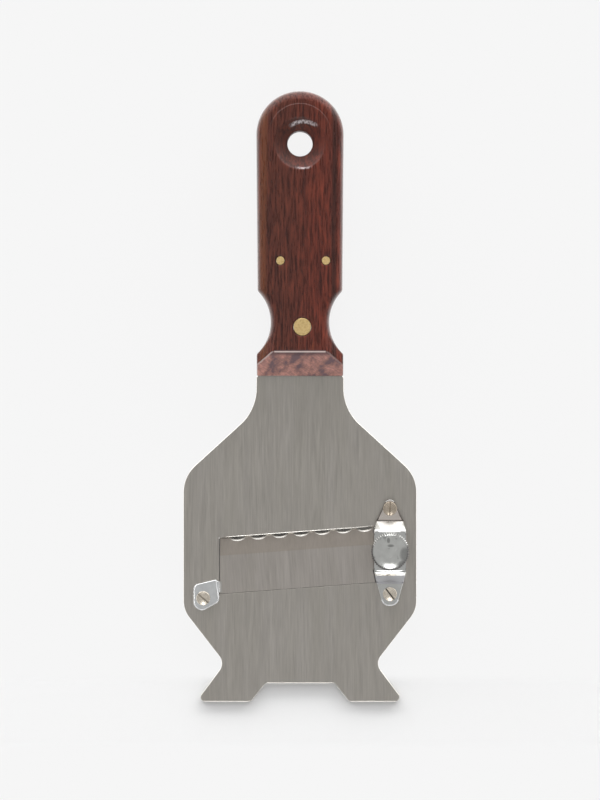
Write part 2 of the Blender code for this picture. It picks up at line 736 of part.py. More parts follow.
def jog_mesh():
    """The bend that steps from the ear, which lies on the plate, down into the blade."""
    in_ear_x = EAR_SCREW_X + EAR_TOP_RIGHT - BLADE_THICKNESS / 2
    blade_left = SLOT_LEFT_X + SEAT_GAP + JOG_INSET
    in_blade_z = PLATE_FRONT_Z - BLADE_THICKNESS / 4
    slope_start = Vector((SLOT_LEFT_X - JOG_START, EAR_TOP_Z - JOG_INSET))
    slope_end = Vector((SLOT_LEFT_X + JOG_END, PLATE_FRONT_Z))
    sunk_end = slope_end + (slope_end - slope_start) * BLADE_THICKNESS / 4 / (slope_start.y - slope_end.y)
    outline = [
        (in_ear_x, SEAT_Z + JOG_INSET),
        (SLOT_LEFT_X - JOG_INSET, SEAT_Z + JOG_INSET),
        (blade_left, PLATE_FRONT_Z - JOG_INSET),
        (blade_left, in_blade_z),
        sunk_end,
        slope_start,
        (in_ear_x, EAR_TOP_Z - JOG_INSET),
    ]
    bottom = slot_y(sunk_end.x, SLOT_BOTTOM_Y + SEAT_GAP) + JOG_SIDE_INSET
    top = EAR_SCREW_Y + EAR_TOP_RIGHT_RISE - JOG_TOP_INSET
    jog = flat_mesh("blade_jog", outline, top - bottom)
    jog.data.transform(Matrix.Rotation(math.pi / 2, 4, "X"))
    jog.data.transform(Matrix.Translation((0.0, (top + bottom) / 2, 0.0)))
    return jog


def blade_pivot():
    """Where the ear rocks: on the plate's face, under the blade's screw."""
    return Vector((EAR_SCREW_X, EAR_SCREW_Y, PLATE_FRONT_Z))


def blade(parts, cutters, origin):
    """The blade with its scallops and its ear. Its origin lies on the axis that it rocks about."""
    lift_hole = circle_points(BRIDGE_X, BRIDGE_Y, JOURNAL_RADIUS + RUNNING_CLEARANCE)
    steel = flat_mesh("blade", blade_outline(), BLADE_THICKNESS, [lift_hole])
    pivot = blade_pivot()
    middle_z = PLATE_FRONT_Z - BLADE_THICKNESS / 2
    steel.data.transform(Matrix.Translation(Vector((0.0, 0.0, middle_z)) - pivot))
    place(steel, parts, origin, pivot)
    grind = place(grind_cutter(), cutters, origin)
    combine(steel, as_cutter(grind), "DIFFERENCE")
    last_x = blade_shoulder(SLOT_BOTTOM_Y + SLOT_HEIGHT - SEAT_GAP)[0]
    scallop_count = math.ceil((last_x - SCALLOP_FIRST_X) / SCALLOP_PITCH)
    for index in range(scallop_count):
        scallop = place(scallop_cutter(index), cutters, origin)
        combine(steel, as_cutter(scallop), "DIFFERENCE")
    jog = place(jog_mesh(), cutters, origin)
    combine(steel, as_cutter(jog), "UNION")
    screw_hole = circle_points(EAR_SCREW_X, EAR_SCREW_Y, SCREW_SHANK_RADIUS + RUNNING_CLEARANCE)
    ear = flat_mesh("blade_ear", ear_outline(), BLADE_THICKNESS, [screw_hole])
    place(ear, cutters, origin, (0.0, 0.0, SEAT_Z + BLADE_THICKNESS / 2))
    combine(steel, as_cutter(ear), "UNION")
    return finish(steel, GROUND_STEEL, smooth=False)


def screw_profile(under_head_z, end_z):
    """A slotted screw, turned, with a crowned head."""
    crown_radius = (SCREW_HEAD_RADIUS ** 2 + SCREW_HEAD_CROWN ** 2) / (2 * SCREW_HEAD_CROWN)
    full_angle = math.asin(SCREW_HEAD_RADIUS / crown_radius)
    top_z = under_head_z + SCREW_HEAD_RIM + SCREW_HEAD_CROWN
    profile = []
    for step in range(CROWN_STEPS + 1):
        angle = full_angle * step / CROWN_STEPS
        drop = crown_radius * (1 - math.cos(angle))
        profile.append((crown_radius * math.sin(angle), top_z - drop))
    profile.append((SCREW_HEAD_RADIUS, under_head_z))
    profile.append((SCREW_SHANK_RADIUS, under_head_z))
    profile.append((SCREW_SHANK_RADIUS, end_z))
    profile.append((0.0, end_z))
    return profile


def slotted_screw(parts, cutters, origin, name, x, y, seat_z, slot_turn):
    """A screw through the plate, whose head lies over a piece with its top at seat_z."""
    under_head_z = seat_z + SEAT_GAP
    end_z = PLATE_BACK_Z - SEAT_GAP - NUT_THICKNESS - SCREW_END_LENGTH
    screw = turned_mesh(name, screw_profile(under_head_z, end_z), SMALL_SEGMENTS)
    place(screw, parts, origin, (x, y, 0.0))
    top_z = under_head_z + SCREW_HEAD_RIM + SCREW_HEAD_CROWN
    size = (2 * SCREW_HEAD_RADIUS + OVERCUT, SCREW_SLOT_WIDTH, 2 * SCREW_SLOT_DEPTH)
    slot = box_mesh(name + "_slot", size)
    place(slot, cutters, origin, (x, y, top_z))
    slot.rotation_euler.z = slot_turn
    combine(screw, as_cutter(slot), "DIFFERENCE")
    return finish(screw, NICKEL)


def hexagon_nut(parts, origin, name, x, y):
    """The nut of a slotted screw, behind the plate."""
    corner_radius = NUT_ACROSS_FLATS / 2 / math.cos(math.pi / 6)
    hexagon = circle_points(0.0, 0.0, corner_radius, 6)
    bore = circle_points(0.0, 0.0, SCREW_SHANK_RADIUS + BORE_CLEARANCE)
    nut = flat_mesh(name, hexagon, NUT_THICKNESS, [bore])
    place(nut, parts, origin, (x, y, PLATE_BACK_Z - SEAT_GAP - NUT_THICKNESS / 2))
    return finish(nut, NICKEL)


def fasteners(parts, cutters, origin):
    """The three slotted screws and their nuts."""
    seats = {
        "blade_screw": (EAR_TOP_Z, BLADE_SCREW_TURN, "blade_nut"),
        "bridge_screw_upper": (BRIDGE_FOOT_TOP_Z, UPPER_SCREW_TURN, "bridge_nut_upper"),
        "bridge_screw_lower": (BRIDGE_FOOT_TOP_Z, LOWER_SCREW_TURN, "bridge_nut_lower"),
    }
    for name, x, y in fastener_places():
        seat_z, slot_turn, nut_name = seats[name]
        slotted_screw(parts, cutters, origin, name, x, y, seat_z, slot_turn)
        hexagon_nut(parts, origin, nut_name, x, y)


def strap_outline():
    """The bent strap of the bridge seen from the side, as (distance from its middle, z)."""
    rise = BRIDGE_TOP_Z - BRIDGE_FOOT_TOP_Z
    run = BRIDGE_BEND_HALF_LENGTH - BRIDGE_TOP_HALF_LENGTH
    bend_shift = BRIDGE_THICKNESS * math.tan(math.atan2(rise, run) / 2)
    outer_radius = BRIDGE_BEND_RADIUS + BRIDGE_THICKNESS
    far = BRIDGE_SCREW_HALF_SPACING + BRIDGE_LOWER_END + OVERCUT
    underside = [
        (BRIDGE_TOP_HALF_LENGTH - bend_shift, BRIDGE_UNDERSIDE_Z, BRIDGE_BEND_RADIUS),
        (BRIDGE_BEND_HALF_LENGTH - bend_shift, SEAT_Z, outer_radius),
        (far, SEAT_Z, 0.0),
        (far, BRIDGE_FOOT_TOP_Z, 0.0),
        (BRIDGE_BEND_HALF_LENGTH, BRIDGE_FOOT_TOP_Z, BRIDGE_BEND_RADIUS),
        (BRIDGE_TOP_HALF_LENGTH, BRIDGE_TOP_Z, outer_radius),
    ]
    return rounded_outline(mirrored(underside))


def boat_outline():
    """The bridge seen from above, widest round its thumb screw."""
    upper_end = BRIDGE_SCREW_HALF_SPACING + BRIDGE_UPPER_END
    lower_end = BRIDGE_SCREW_HALF_SPACING + BRIDGE_LOWER_END
    right_half = [
        (BRIDGE_LOWER_END_HALF_WIDTH, -lower_end, BRIDGE_LOWER_END_RADIUS),
        (BRIDGE_BEND_HALF_WIDTH, -BRIDGE_BEND_HALF_LENGTH, 0.0),
        (BRIDGE_HALF_WIDTH, -BRIDGE_MIDDLE_HALF_LENGTH, 0.0),
        (BRIDGE_HALF_WIDTH, BRIDGE_MIDDLE_HALF_LENGTH, 0.0),
        (BRIDGE_BEND_HALF_WIDTH, BRIDGE_BEND_HALF_LENGTH, 0.0),
        (BRIDGE_UPPER_END_HALF_WIDTH, upper_end, BRIDGE_UPPER_END_RADIUS),
    ]
    return rounded_outline(mirrored(right_half))


def bridge(parts, cutters, origin):
    """The bridge: a strap bent twice at each end, cut to its outline and drilled."""
    strap = standing_mesh("bridge", strap_outline(), 2 * (BRIDGE_HALF_WIDTH + OVERCUT))
    place(strap, parts, origin, (BRIDGE_X, BRIDGE_Y, 0.0))
    holes = [circle_points(0.0, 0.0, THREAD_RADIUS + THREAD_CLEARANCE)]
    for end in (1, -1):
        y = end * BRIDGE_SCREW_HALF_SPACING
        holes.append(circle_points(0.0, y, SCREW_SHANK_RADIUS + BORE_CLEARANCE))
    boat = flat_mesh("bridge_outline", boat_outline(), 2 * (BRIDGE_TOP_Z + OVERCUT), holes)
    place(boat, cutters, origin, (BRIDGE_X, BRIDGE_Y, 0.0))
    combine(strap, as_cutter(boat), "INTERSECT")
    return finish(strap, POLISHED_STEEL)


def knurl_points():
    """The knob's rim, with a straight knurl."""
    points = []
    for step in range(2 * KNURL_COUNT):
        angle = math.pi * step / KNURL_COUNT
        radius = KNOB_RADIUS - KNURL_DEPTH * (step % 2)
        points.append((radius * math.cos(angle), radius * math.sin(angle)))
    return points


def thumb_screw(parts, cutters, origin):
    """The thumb screw: knurled knob, thread, and a journal that ends in a grooved tip."""
    under_knob_z = BRIDGE_TOP_Z + SEAT_GAP
    top_z = under_knob_z + KNOB_THICKNESS
    knob = flat_mesh("thumb_screw", knurl_points(), KNOB_THICKNESS)
    knob.data.transform(Matrix.Translation((0.0, 0.0, under_knob_z + KNOB_THICKNESS / 2)))
    place(knob, parts, origin, (BRIDGE_X, BRIDGE_Y, 0.0))
    spread = KNOB_CHAMFER / 2
    envelope = [
        (0.0, top_z + spread),
        (KNOB_RADIUS - KNOB_CHAMFER - spread, top_z + spread),
        (KNOB_RADIUS + spread, top_z - KNOB_CHAMFER - spread),
        (KNOB_RADIUS + spread, under_knob_z + KNOB_CHAMFER + spread),
        (KNOB_RADIUS - KNOB_CHAMFER - spread, under_knob_z - spread),
        (0.0, under_knob_z - spread),
    ]
    rim = turned_mesh("knob_envelope", envelope, LARGE_SEGMENTS)
    place(rim, cutters, origin, (BRIDGE_X, BRIDGE_Y, 0.0))
    combine(knob, as_cutter(rim), "INTERSECT")
    shoulder_z = SEAT_Z + WASHER_THICKNESS + SEAT_GAP
    ring_top_z = BLADE_BACK_Z - SEAT_GAP
    groove_top_z = ring_top_z + BORE_CLEARANCE
    groove_bottom_z = ring_top_z - RING_THICKNESS - BORE_CLEARANCE
    end_z = groove_bottom_z - TIP_LENGTH
    shank_profile = [
        (0.0, under_knob_z + KNOB_THICKNESS / 2),
        (THREAD_RADIUS, under_knob_z + KNOB_THICKNESS / 2),
        (THREAD_RADIUS, shoulder_z),
        (JOURNAL_RADIUS, shoulder_z),
        (JOURNAL_RADIUS, groove_top_z),
        (JOURNAL_RADIUS - GROOVE_DEPTH, groove_top_z),
        (JOURNAL_RADIUS - GROOVE_DEPTH, groove_bottom_z),
        (JOURNAL_RADIUS, groove_bottom_z),
        (JOURNAL_RADIUS, end_z + TIP_CHAMFER),
        (JOURNAL_RADIUS - TIP_CHAMFER, end_z),
        (0.0, end_z),
    ]
    shank = turned_mesh("thumb_screw_shank", shank_profile, SMALL_SEGMENTS)
    place(shank, cutters, origin, (BRIDGE_X, BRIDGE_Y, 0.0))
    combine(knob, as_cutter(shank), "UNION")
    return finish(knob, POLISHED_STEEL)


def thrust_washer(parts, origin):
    """The washer between the shoulder of the thumb screw and the blade."""
    bore_radius = JOURNAL_RADIUS + BORE_CLEARANCE
    profile = [
        (bore_radius, WASHER_THICKNESS),
        (WASHER_RADIUS, WASHER_THICKNESS),
        (WASHER_RADIUS, 0.0),
        (bore_radius, 0.0),
    ]
    washer = turned_mesh("thrust_washer", profile, SMALL_SEGMENTS, closed=True)
    place(washer, parts, origin, (BRIDGE_X, BRIDGE_Y, SEAT_Z))
    return finish(washer, NICKEL)


def snap_ring(parts, origin):
    """The open ring in the groove of the thumb screw's tip, under the blade."""
    inner_radius = JOURNAL_RADIUS - GROOVE_DEPTH + BORE_CLEARANCE
    outer_half_mouth = math.asin(RING_MOUTH / 2 / RING_RADIUS)
    inner_half_mouth = math.asin(RING_MOUTH / 2 / inner_radius)
    outer = arc_points((0.0, 0.0), RING_RADIUS, outer_half_mouth, math.tau - 2 * outer_half_mouth)
    inner = arc_points((0.0, 0.0), inner_radius, math.tau - inner_half_mouth,
                       2 * inner_half_mouth - math.tau)
    ring = flat_mesh("snap_ring", outer + inner, RING_THICKNESS)
    ring_z = BLADE_BACK_Z - SEAT_GAP - RING_THICKNESS / 2
    place(ring, parts, origin, (BRIDGE_X, BRIDGE_Y, ring_z))
    return finish(ring, NICKEL)


def slicer_origin(parts):
    """The empty that carries every piece, with the handle's back on the world's z = 0."""
    origin = bpy.data.objects.new("slicer_origin", None)
    parts.objects.link(origin)
    origin.location = (0.0, -HANDLE_TOP_Y / 2, HANDLE_THICKNESS / 2)
    return origin


def main():
    """Build the slicer."""
    clear_scene()
    parts = new_collection("truffle_slicer")
    cutters = new_collection("cutters")
    origin = slicer_origin(parts)
    slicer_plate(parts, origin)
    handle(parts, cutters, origin)
    brass_pieces(parts, origin)
    blade(parts, cutters, origin)
    bridge(parts, cutters, origin)
    fasteners(parts, cutters, origin)
    thumb_screw(parts, cutters, origin)
    thrust_washer(parts, origin)
    snap_ring(parts, origin)


main()
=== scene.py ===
"""Truffle slicer: the looks of its plate, handle, brass, blade, bridge, fasteners and thumb screw.

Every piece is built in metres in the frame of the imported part. The drawings follow the slicer's own
measures: heights along the slicer (Y) count from the line of its feet, and Z from the middle of the
plate, with +Z towards the truffle. Setting a piece in place moves it from there into the frame.
"""

import logging
import math
from collections.abc import Iterable, Sequence
from dataclasses import dataclass
from enum import Enum

import bmesh
import bpy
from mathutils import Matrix, Vector


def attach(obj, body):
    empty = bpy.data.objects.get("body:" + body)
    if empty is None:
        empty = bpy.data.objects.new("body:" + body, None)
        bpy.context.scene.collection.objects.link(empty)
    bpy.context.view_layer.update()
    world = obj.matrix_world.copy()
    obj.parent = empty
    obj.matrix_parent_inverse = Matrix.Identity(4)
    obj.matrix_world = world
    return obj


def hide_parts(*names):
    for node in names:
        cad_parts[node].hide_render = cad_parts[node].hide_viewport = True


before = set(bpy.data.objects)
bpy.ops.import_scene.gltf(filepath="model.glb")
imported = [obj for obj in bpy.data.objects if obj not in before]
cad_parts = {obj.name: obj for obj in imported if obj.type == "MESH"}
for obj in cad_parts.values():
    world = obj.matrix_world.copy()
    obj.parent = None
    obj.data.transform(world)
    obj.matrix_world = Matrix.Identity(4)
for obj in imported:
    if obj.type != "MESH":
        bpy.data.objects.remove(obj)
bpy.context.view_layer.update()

LOG = logging.getLogger("truffle_slicer")

# Where the slicer's own measures start in the frame
FEET_Y = -0.10725
PLATE_MIDDLE_Z = 0.0085

# Fineness of round stretches
ARC_STEP = math.radians(5)
ROUND_SEGMENTS = 64
WELD = 0.000001
FLAT_ANGLE = math.radians(1)
SHARP_ANGLE = math.radians(60)
CREASE_ANGLE = math.radians(32)

# The upward part of a normal from which a face counts as level
LEVEL = 0.999

# Width of the wave texture's rings at a scale of 1
RING_PERIOD = math.tau / 20

# Room by which a tool runs past what it cuts
OVERCUT = 0.0020

ORIGIN = (0.0, 0.0, 0.0)
WHITE = (1.0, 1.0, 1.0)
BLACK = (0.0, 0.0, 0.0)

Colour = tuple[float, float, float]
Triple = tuple[float, float, float]
Point = tuple[float, float]
Spot = tuple[float, float, float, float]
Socket = bpy.types.NodeSocket
Material = bpy.types.Material
Piece = bpy.types.Object
Vert = bmesh.types.BMVert
Edge = bmesh.types.BMEdge
Face = bmesh.types.BMFace


class Body(Enum):
    """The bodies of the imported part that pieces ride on."""

    SLICER = "plate_and_handle"
    BLADE = "blade_arm"
    LIFT = "screw_lift"
    TURN = "screw_turn"


class Grain(Enum):
    """The way that lines of a finish run."""

    ALONG_SLICER = "along"
    ACROSS_SLICER = "across"


# Finishes


class NodeBench:
    """A node tree in the making, with one short call for each kind of node."""

    def __init__(self, tree: bpy.types.NodeTree) -> None:
        """Start on a tree."""
        self.tree = tree

    def feed(self, socket: Socket, value: object) -> None:
        """Wire an input to a node's output, or set its value.

        Args:
            socket: the input to fill.
            value: an output socket, a number, or a row of numbers.
        """
        if isinstance(value, Socket):
            self.tree.links.new(value, socket)
        else:
            socket.default_value = value

    def fill(self, node: bpy.types.Node, **inputs: object) -> None:
        """Fill a node's inputs, each under its name with underscores for spaces."""
        for name, value in inputs.items():
            self.feed(node.inputs[name.replace("_", " ")], value)

    def add(self, kind: str, settings: dict[str, str] | None = None, **inputs: object) -> bpy.types.Node:
        """Add a node.

        Args:
            kind: its kind.
            settings: its options, by their names.
            inputs: what fills its inputs, by their names.

        Returns:
            The node.
        """
        node = self.tree.nodes.new(kind)
        for name, option in (settings or {}).items():
            setattr(node, name, option)
        self.fill(node, **inputs)
        return node

    def calculate(self, operation: str, *values: object) -> Socket:
        """One step of arithmetic.

        Args:
            operation: the name of the step, such as ADD.
            values: what it works on, sockets or numbers.

        Returns:
            The result.
        """
        node = self.add("ShaderNodeMath", {"operation": operation})
        for socket, value in zip(node.inputs, values):
            self.feed(socket, value)
        return node.outputs["Value"]

    def times(self, first: object, second: object) -> Socket:
        """Two values multiplied."""
        return self.calculate("MULTIPLY", first, second)

    def plus(self, first: object, second: object) -> Socket:
        """Two values added."""
        return self.calculate("ADD", first, second)

    def minus(self, first: object, second: object) -> Socket:
        """A value less another."""
        return self.calculate("SUBTRACT", first, second)

    def most(self, first: object, second: object) -> Socket:
        """The greater of two values."""
        return self.calculate("MAXIMUM", first, second)

    def squared(self, value: object) -> Socket:
        """A value times itself."""
        return self.calculate("POWER", value, 2.0)

    def unsigned(self, value: object) -> Socket:
        """A value without its sign."""
        return self.calculate("ABSOLUTE", value)

    def rescaled(self, value: Socket, low: float, high: float, to_low: float = 0.0,
                 to_high: float = 1.0) -> Socket:
        """A value moved smoothly from one range to another and held in it."""
        return self.add("ShaderNodeMapRange", {"interpolation_type": "SMOOTHSTEP"}, Value=value,
                        From_Min=low, From_Max=high, To_Min=to_low, To_Max=to_high).outputs["Result"]

    def window(self, value: Socket, low: float, high: float, soft: float) -> Socket:
        """1 between two values and 0 outside them, with ends that fade over a soft stretch."""
        rise = self.rescaled(value, low - soft / 2, low + soft / 2)
        return self.times(rise, self.rescaled(value, high - soft / 2, high + soft / 2, 1.0, 0.0))

    def parts(self, vector: Socket) -> dict[str, Socket]:
        """The three coordinates of a vector, by their letters."""
        node = self.add("ShaderNodeSeparateXYZ", Vector=vector)
        return {axis: node.outputs[axis] for axis in "XYZ"}


class Recipe(NodeBench):
    """A material in the making."""

    def __init__(self, name: str) -> None:
        """Start a material with its Principled shader.

        Args:
            name: the material's name.
        """
        self.material = bpy.data.materials.new(name)
        self.material.use_nodes = True
        super().__init__(self.material.node_tree)
        self.shader = self.tree.nodes["Principled BSDF"]
        self.place = self.add("ShaderNodeTexCoord").outputs["Object"]

    def at(self, axis: str) -> Socket:
        """One coordinate of the piece's own place, X, Y or Z."""
        return self.parts(self.place)[axis]

    def mapped(self, scale: Sequence[float], centre: Sequence[float] = ORIGIN, turn: float = 0.0) -> Socket:
        """Coordinates about a centre, turned about Z and stretched along each axis.

        Args:
            scale: the stretching along each axis.
            centre: the centre.
            turn: the angle about Z.

        Returns:
            The coordinates.
        """
        return self.add("ShaderNodeMapping", {"vector_type": "TEXTURE"}, Vector=self.place,
                        Location=tuple(centre), Rotation=(0.0, 0.0, turn),
                        Scale=tuple(1 / stretch for stretch in scale)).outputs["Vector"]

    def noise(self, scale: Sequence[float], detail: float = 2.0, roughness: float = 0.5, turn: float = 0.0,
              centre: Sequence[float] = ORIGIN, distortion: float = 0.0) -> Socket:
        """A stretched, turned and swirled noise from 0 to 1, with as many finer layers as its detail."""
        return self.add("ShaderNodeTexNoise", Vector=self.mapped(scale, centre, turn), Scale=1.0,
                        Detail=detail, Roughness=roughness, Distortion=distortion).outputs["Fac"]

    def reach_squared(self, place: dict[str, Socket]) -> Socket:
        """The square of how far a place lies from the Z axis."""
        return self.plus(self.squared(place["X"]), self.squared(place["Y"]))

    def rings(self, vector: Socket, distortion: float) -> Socket:
        """Uneven rings about the Z axis of coordinates that have their scale, from 0 to 1."""
        return self.add("ShaderNodeTexWave", {"wave_type": "RINGS", "rings_direction": "Z"}, Vector=vector,
                        Scale=1.0, Distortion=distortion).outputs["Fac"]

    def ramp(self, value: Socket, *stops: tuple[float, Colour]) -> Socket:
        """Colours along a value.

        Args:
            value: the value from 0 to 1.
            stops: each colour with the value it stands at.

        Returns:
            The colour.
        """
        node = self.add("ShaderNodeValToRGB", Fac=value)
        elements = node.color_ramp.elements
        elements[0].position, elements[-1].position = stops[0][0], stops[-1][0]
        for position, _ in stops[1:-1]:
            elements.new(position)
        for element, (_, colour) in zip(elements, stops):
            element.color = (*colour, 1.0)
        return node.outputs["Color"]

    def blend(self, share: object, first: object, second: object, kind: str = "MIX") -> Socket:
        """Two colours mixed.

        Args:
            share: how much of the second there is.
            first: the first colour.
            second: the second colour.
            kind: how they mix, such as MIX or MULTIPLY.

        Returns:
            The mixed colour.
        """
        node = self.add("ShaderNodeMix", {"data_type": "RGBA", "blend_type": kind}, Factor=share)
        for socket, colour in ((node.inputs[6], first), (node.inputs[7], second)):
            self.feed(socket, colour if isinstance(colour, Socket) else (*colour, 1.0))
        return node.outputs[2]

    def spot(self, x: float, y: float, half_width: float, half_height: float) -> Socket:
        """A soft oval spot about x and y, 1 in its middle and 0 outside it."""
        place = self.parts(self.mapped((1 / half_width, 1 / half_height, 1.0), (x, y, 0.0)))
        return self.rescaled(self.reach_squared(place), 0.2, 1.0, 1.0, 0.0)

    def bump(self, height: Socket, distance: float, strength: float = 1.0,
             under: Socket | None = None) -> Socket:
        """The normal of a relief, up to a distance in metres high, on the relief under it if there is one."""
        inputs = {"Height": height, "Distance": distance, "Strength": strength}
        return self.add("ShaderNodeBump", **inputs, **({"Normal": under} if under else {})).outputs["Normal"]

    def finished(self, colour: Socket, roughness: Socket, normal: Socket, metallic: float) -> Material:
        """Wire the shader, 1 for metal and 0 for wood, and hand over the material."""
        self.fill(self.shader, Base_Color=colour, Roughness=roughness, Normal=normal, Metallic=metallic)
        return self.material


def shade(colour: Colour, factor: float) -> Colour:
    """A colour made lighter or darker."""
    red, green, blue = colour
    return (red * factor, green * factor, blue * factor)


@dataclass(frozen=True)
class BrushedSteel:
    """Steel brushed in one direction, with fine lines, wider bands and a satin sheen."""

    name: str
    colour: Colour
    roughness: float = 0.38
    grain: Grain = Grain.ALONG_SLICER
    turn: float = 0.0
    contrast: float = 0.10
    band_contrast: float = 0.06
    line_width: float = 0.00035
    line_length: float = 0.0110
    band_width: float = 0.0060
    band_length: float = 0.0480
    relief: float = 0.000010
    metal: float = 1.0

    def material(self) -> Material:
        """Mix the steel's material.

        Returns:
            The material.
        """
        recipe = Recipe(self.name)
        fine = (1 / self.line_width, 1 / self.line_length, 1 / self.line_width)
        wide = (1 / self.band_width, 1 / self.band_length, 1 / self.band_width)
        if self.grain is Grain.ACROSS_SLICER:
            fine = (fine[1], fine[0], fine[2])
            wide = (wide[1], wide[0], wide[2])
        lines = recipe.noise(fine, 3.0, 0.65, self.turn)
        bands = recipe.noise(wide, turn=self.turn)
        lined = recipe.ramp(lines, (0.30, shade(self.colour, 1 - self.contrast)), (0.50, self.colour),
                            (0.72, shade(self.colour, 1 + self.contrast)))
        dim = 1 - self.band_contrast
        tint = recipe.ramp(bands, (0.30, (dim, dim, 1 - 1.3 * self.band_contrast)), (0.70, WHITE))
        colour = recipe.blend(1.0, lined, tint, "MULTIPLY")
        roughness = recipe.rescaled(lines, 0.25, 0.75, self.roughness - 0.06, self.roughness + 0.06)
        return recipe.finished(colour, roughness, recipe.bump(lines, self.relief), self.metal)


@dataclass(frozen=True)
class PolishedSteel:
    """Bright pressed steel: slight waves from the press, hairline scratches, cloudy spots, and painted dark
    reflections where spots for them are given.
    """

    name: str
    colour: Colour
    roughness: float = 0.10
    wave_length: float = 0.0060
    wave_height: float = 0.00012
    scratch_width: float = 0.00012
    scratch_length: float = 0.0030
    scratch_turn: float = math.radians(62)
    cloud_size: float = 1 / 420
    marks: float = 1.0
    dark_reflections: tuple[Spot, ...] = ()
    reflection_depth: float = 0.45
    metal: float = 1.0

    def material(self) -> Material:
        """Mix the steel's material.

        Returns:
            The material.
        """
        recipe = Recipe(self.name)
        waves = recipe.noise((1 / self.wave_length,) * 3, 1.0)
        scratch_scale = (1 / self.scratch_length, 1 / self.scratch_width, 1 / self.scratch_width)
        scratches = recipe.noise(scratch_scale, turn=self.scratch_turn)
        clouds = recipe.noise((1 / self.cloud_size,) * 3, 4.0)
        colour = recipe.ramp(clouds, (0.30, shade(self.colour, self.marks)),
                             (0.36, shade(self.colour, 0.93)), (0.65, self.colour))
        # Painted dark reflections: the colour darkens in soft spots
        for dark_reflection in self.dark_reflections:
            colour = recipe.blend(recipe.times(recipe.spot(*dark_reflection), self.reflection_depth), colour, BLACK)
        fine = recipe.rescaled(scratches, 0.55, 0.75, 0.0, 0.10)
        cloudy = recipe.rescaled(clouds, 0.35, 0.70, self.roughness * 0.7, self.roughness * 1.5)
        pressed = recipe.bump(waves, self.wave_height, 0.35)
        relief = recipe.bump(scratches, 0.000002, 1.0, pressed)
        return recipe.finished(colour, recipe.plus(fine, cloudy), relief, self.metal)


@dataclass(frozen=True)
class TurnedMetal:
    """Metal faced on a lathe: fine rings about its own axis, dull in the rings and worn between."""

    name: str
    colour: Colour
    centre: Point
    roughness: float = 0.24
    ring_width: float = 0.00050
    spot_size: float = 1 / 900
    relief: float = 0.000004

    def material(self) -> Material:
        """Mix the metal's material.

        Returns:
            The material.
        """
        recipe = Recipe(self.name)
        centre = (*self.centre, 0.0)
        rings = recipe.rings(recipe.mapped((RING_PERIOD / self.ring_width,) * 3, centre), 1.5)
        spots = recipe.noise((1 / self.spot_size,) * 3, 3.0, centre=centre)
        mixed = recipe.plus(recipe.times(rings, 0.25), recipe.times(spots, 0.75))
        colour = recipe.ramp(mixed, (0.25, shade(self.colour, 0.80)), (0.50, self.colour),
                             (0.80, shade(self.colour, 1.12)))
        roughness = recipe.rescaled(mixed, 0.2, 0.8, self.roughness * 0.8, self.roughness * 1.3)
        return recipe.finished(colour, roughness, recipe.bump(rings, self.relief), 1.0)


@dataclass(frozen=True)
class GroundBrass:
    """Brass ground flush with the wood: crossed grinding lines and mottled tarnish."""

    name: str
    colour: Colour
    tarnish: Colour
    roughness: float = 0.36
    line_scale: Triple = (500.0, 5200.0, 500.0)
    line_turn: float = math.radians(24)
    mottle_size: float = 1 / 1300
    relief: float = 0.000006

    def material(self) -> Material:
        """Mix the brass's material.

        Returns:
            The material.
        """
        recipe = Recipe(self.name)
        lines = recipe.noise(self.line_scale, turn=self.line_turn)
        mottling = recipe.noise((1 / self.mottle_size,) * 3, 3.0)
        colour = recipe.ramp(mottling, (0.32, self.tarnish), (0.56, self.colour))
        roughness = recipe.rescaled(lines, 0.3, 0.7, self.roughness - 0.07, self.roughness + 0.08)
        return recipe.finished(colour, roughness, recipe.bump(lines, self.relief), 1.0)


@dataclass(frozen=True)
class Rosewood:
    """Oiled rosewood with its grain along the handle, pores, dark streaks and end grain on the facets."""

    end_y: float
    facet_top_y: float
    facet_half_width: float
    facet_slope: float
    lip_z: float
    middle_z: float
    round_y: float
    hole_y: float
    rim_radius: float
    name: str = "rosewood"
    dark: Colour = (0.042, 0.011, 0.008)
    middle: Colour = (0.082, 0.018, 0.011)
    red: Colour = (0.120, 0.027, 0.015)
    orange: Colour = (0.185, 0.054, 0.022)
    streak: Colour = (0.024, 0.009, 0.007)
    end_light: Colour = (0.650, 0.320, 0.262)
    end_dark: Colour = (0.190, 0.114, 0.126)
    # Painted highlight on the rims of the dish
    rim_highlight: Colour = (0.820, 0.760, 0.780)
    # Painted grey sheen on the rounded edges
    edge_sheen: Colour = (0.190, 0.165, 0.155)
    facet_darkening: Colour = (0.085, 0.050, 0.058)
    # Painted highlight along the facets' top edges
    edge_highlight: Colour = (0.840, 0.700, 0.660)
    edge_sheen_strength: float = 0.75
    rim_highlight_x: float = 0.0012
    ridge: float = 0.0106
    ridge_width: float = 0.0005
    ridge_step: float = 0.00022
    roughness: float = 0.27
    end_dullness: float = 0.28
    dish_dullness: float = 0.26
    gloss: float = 0.42
    fibre_height: float = 0.000017
    pore_depth: float = 0.000024

    def material(self) -> Material:
        """The wood's material."""
        return WoodRecipe(self).mixed()


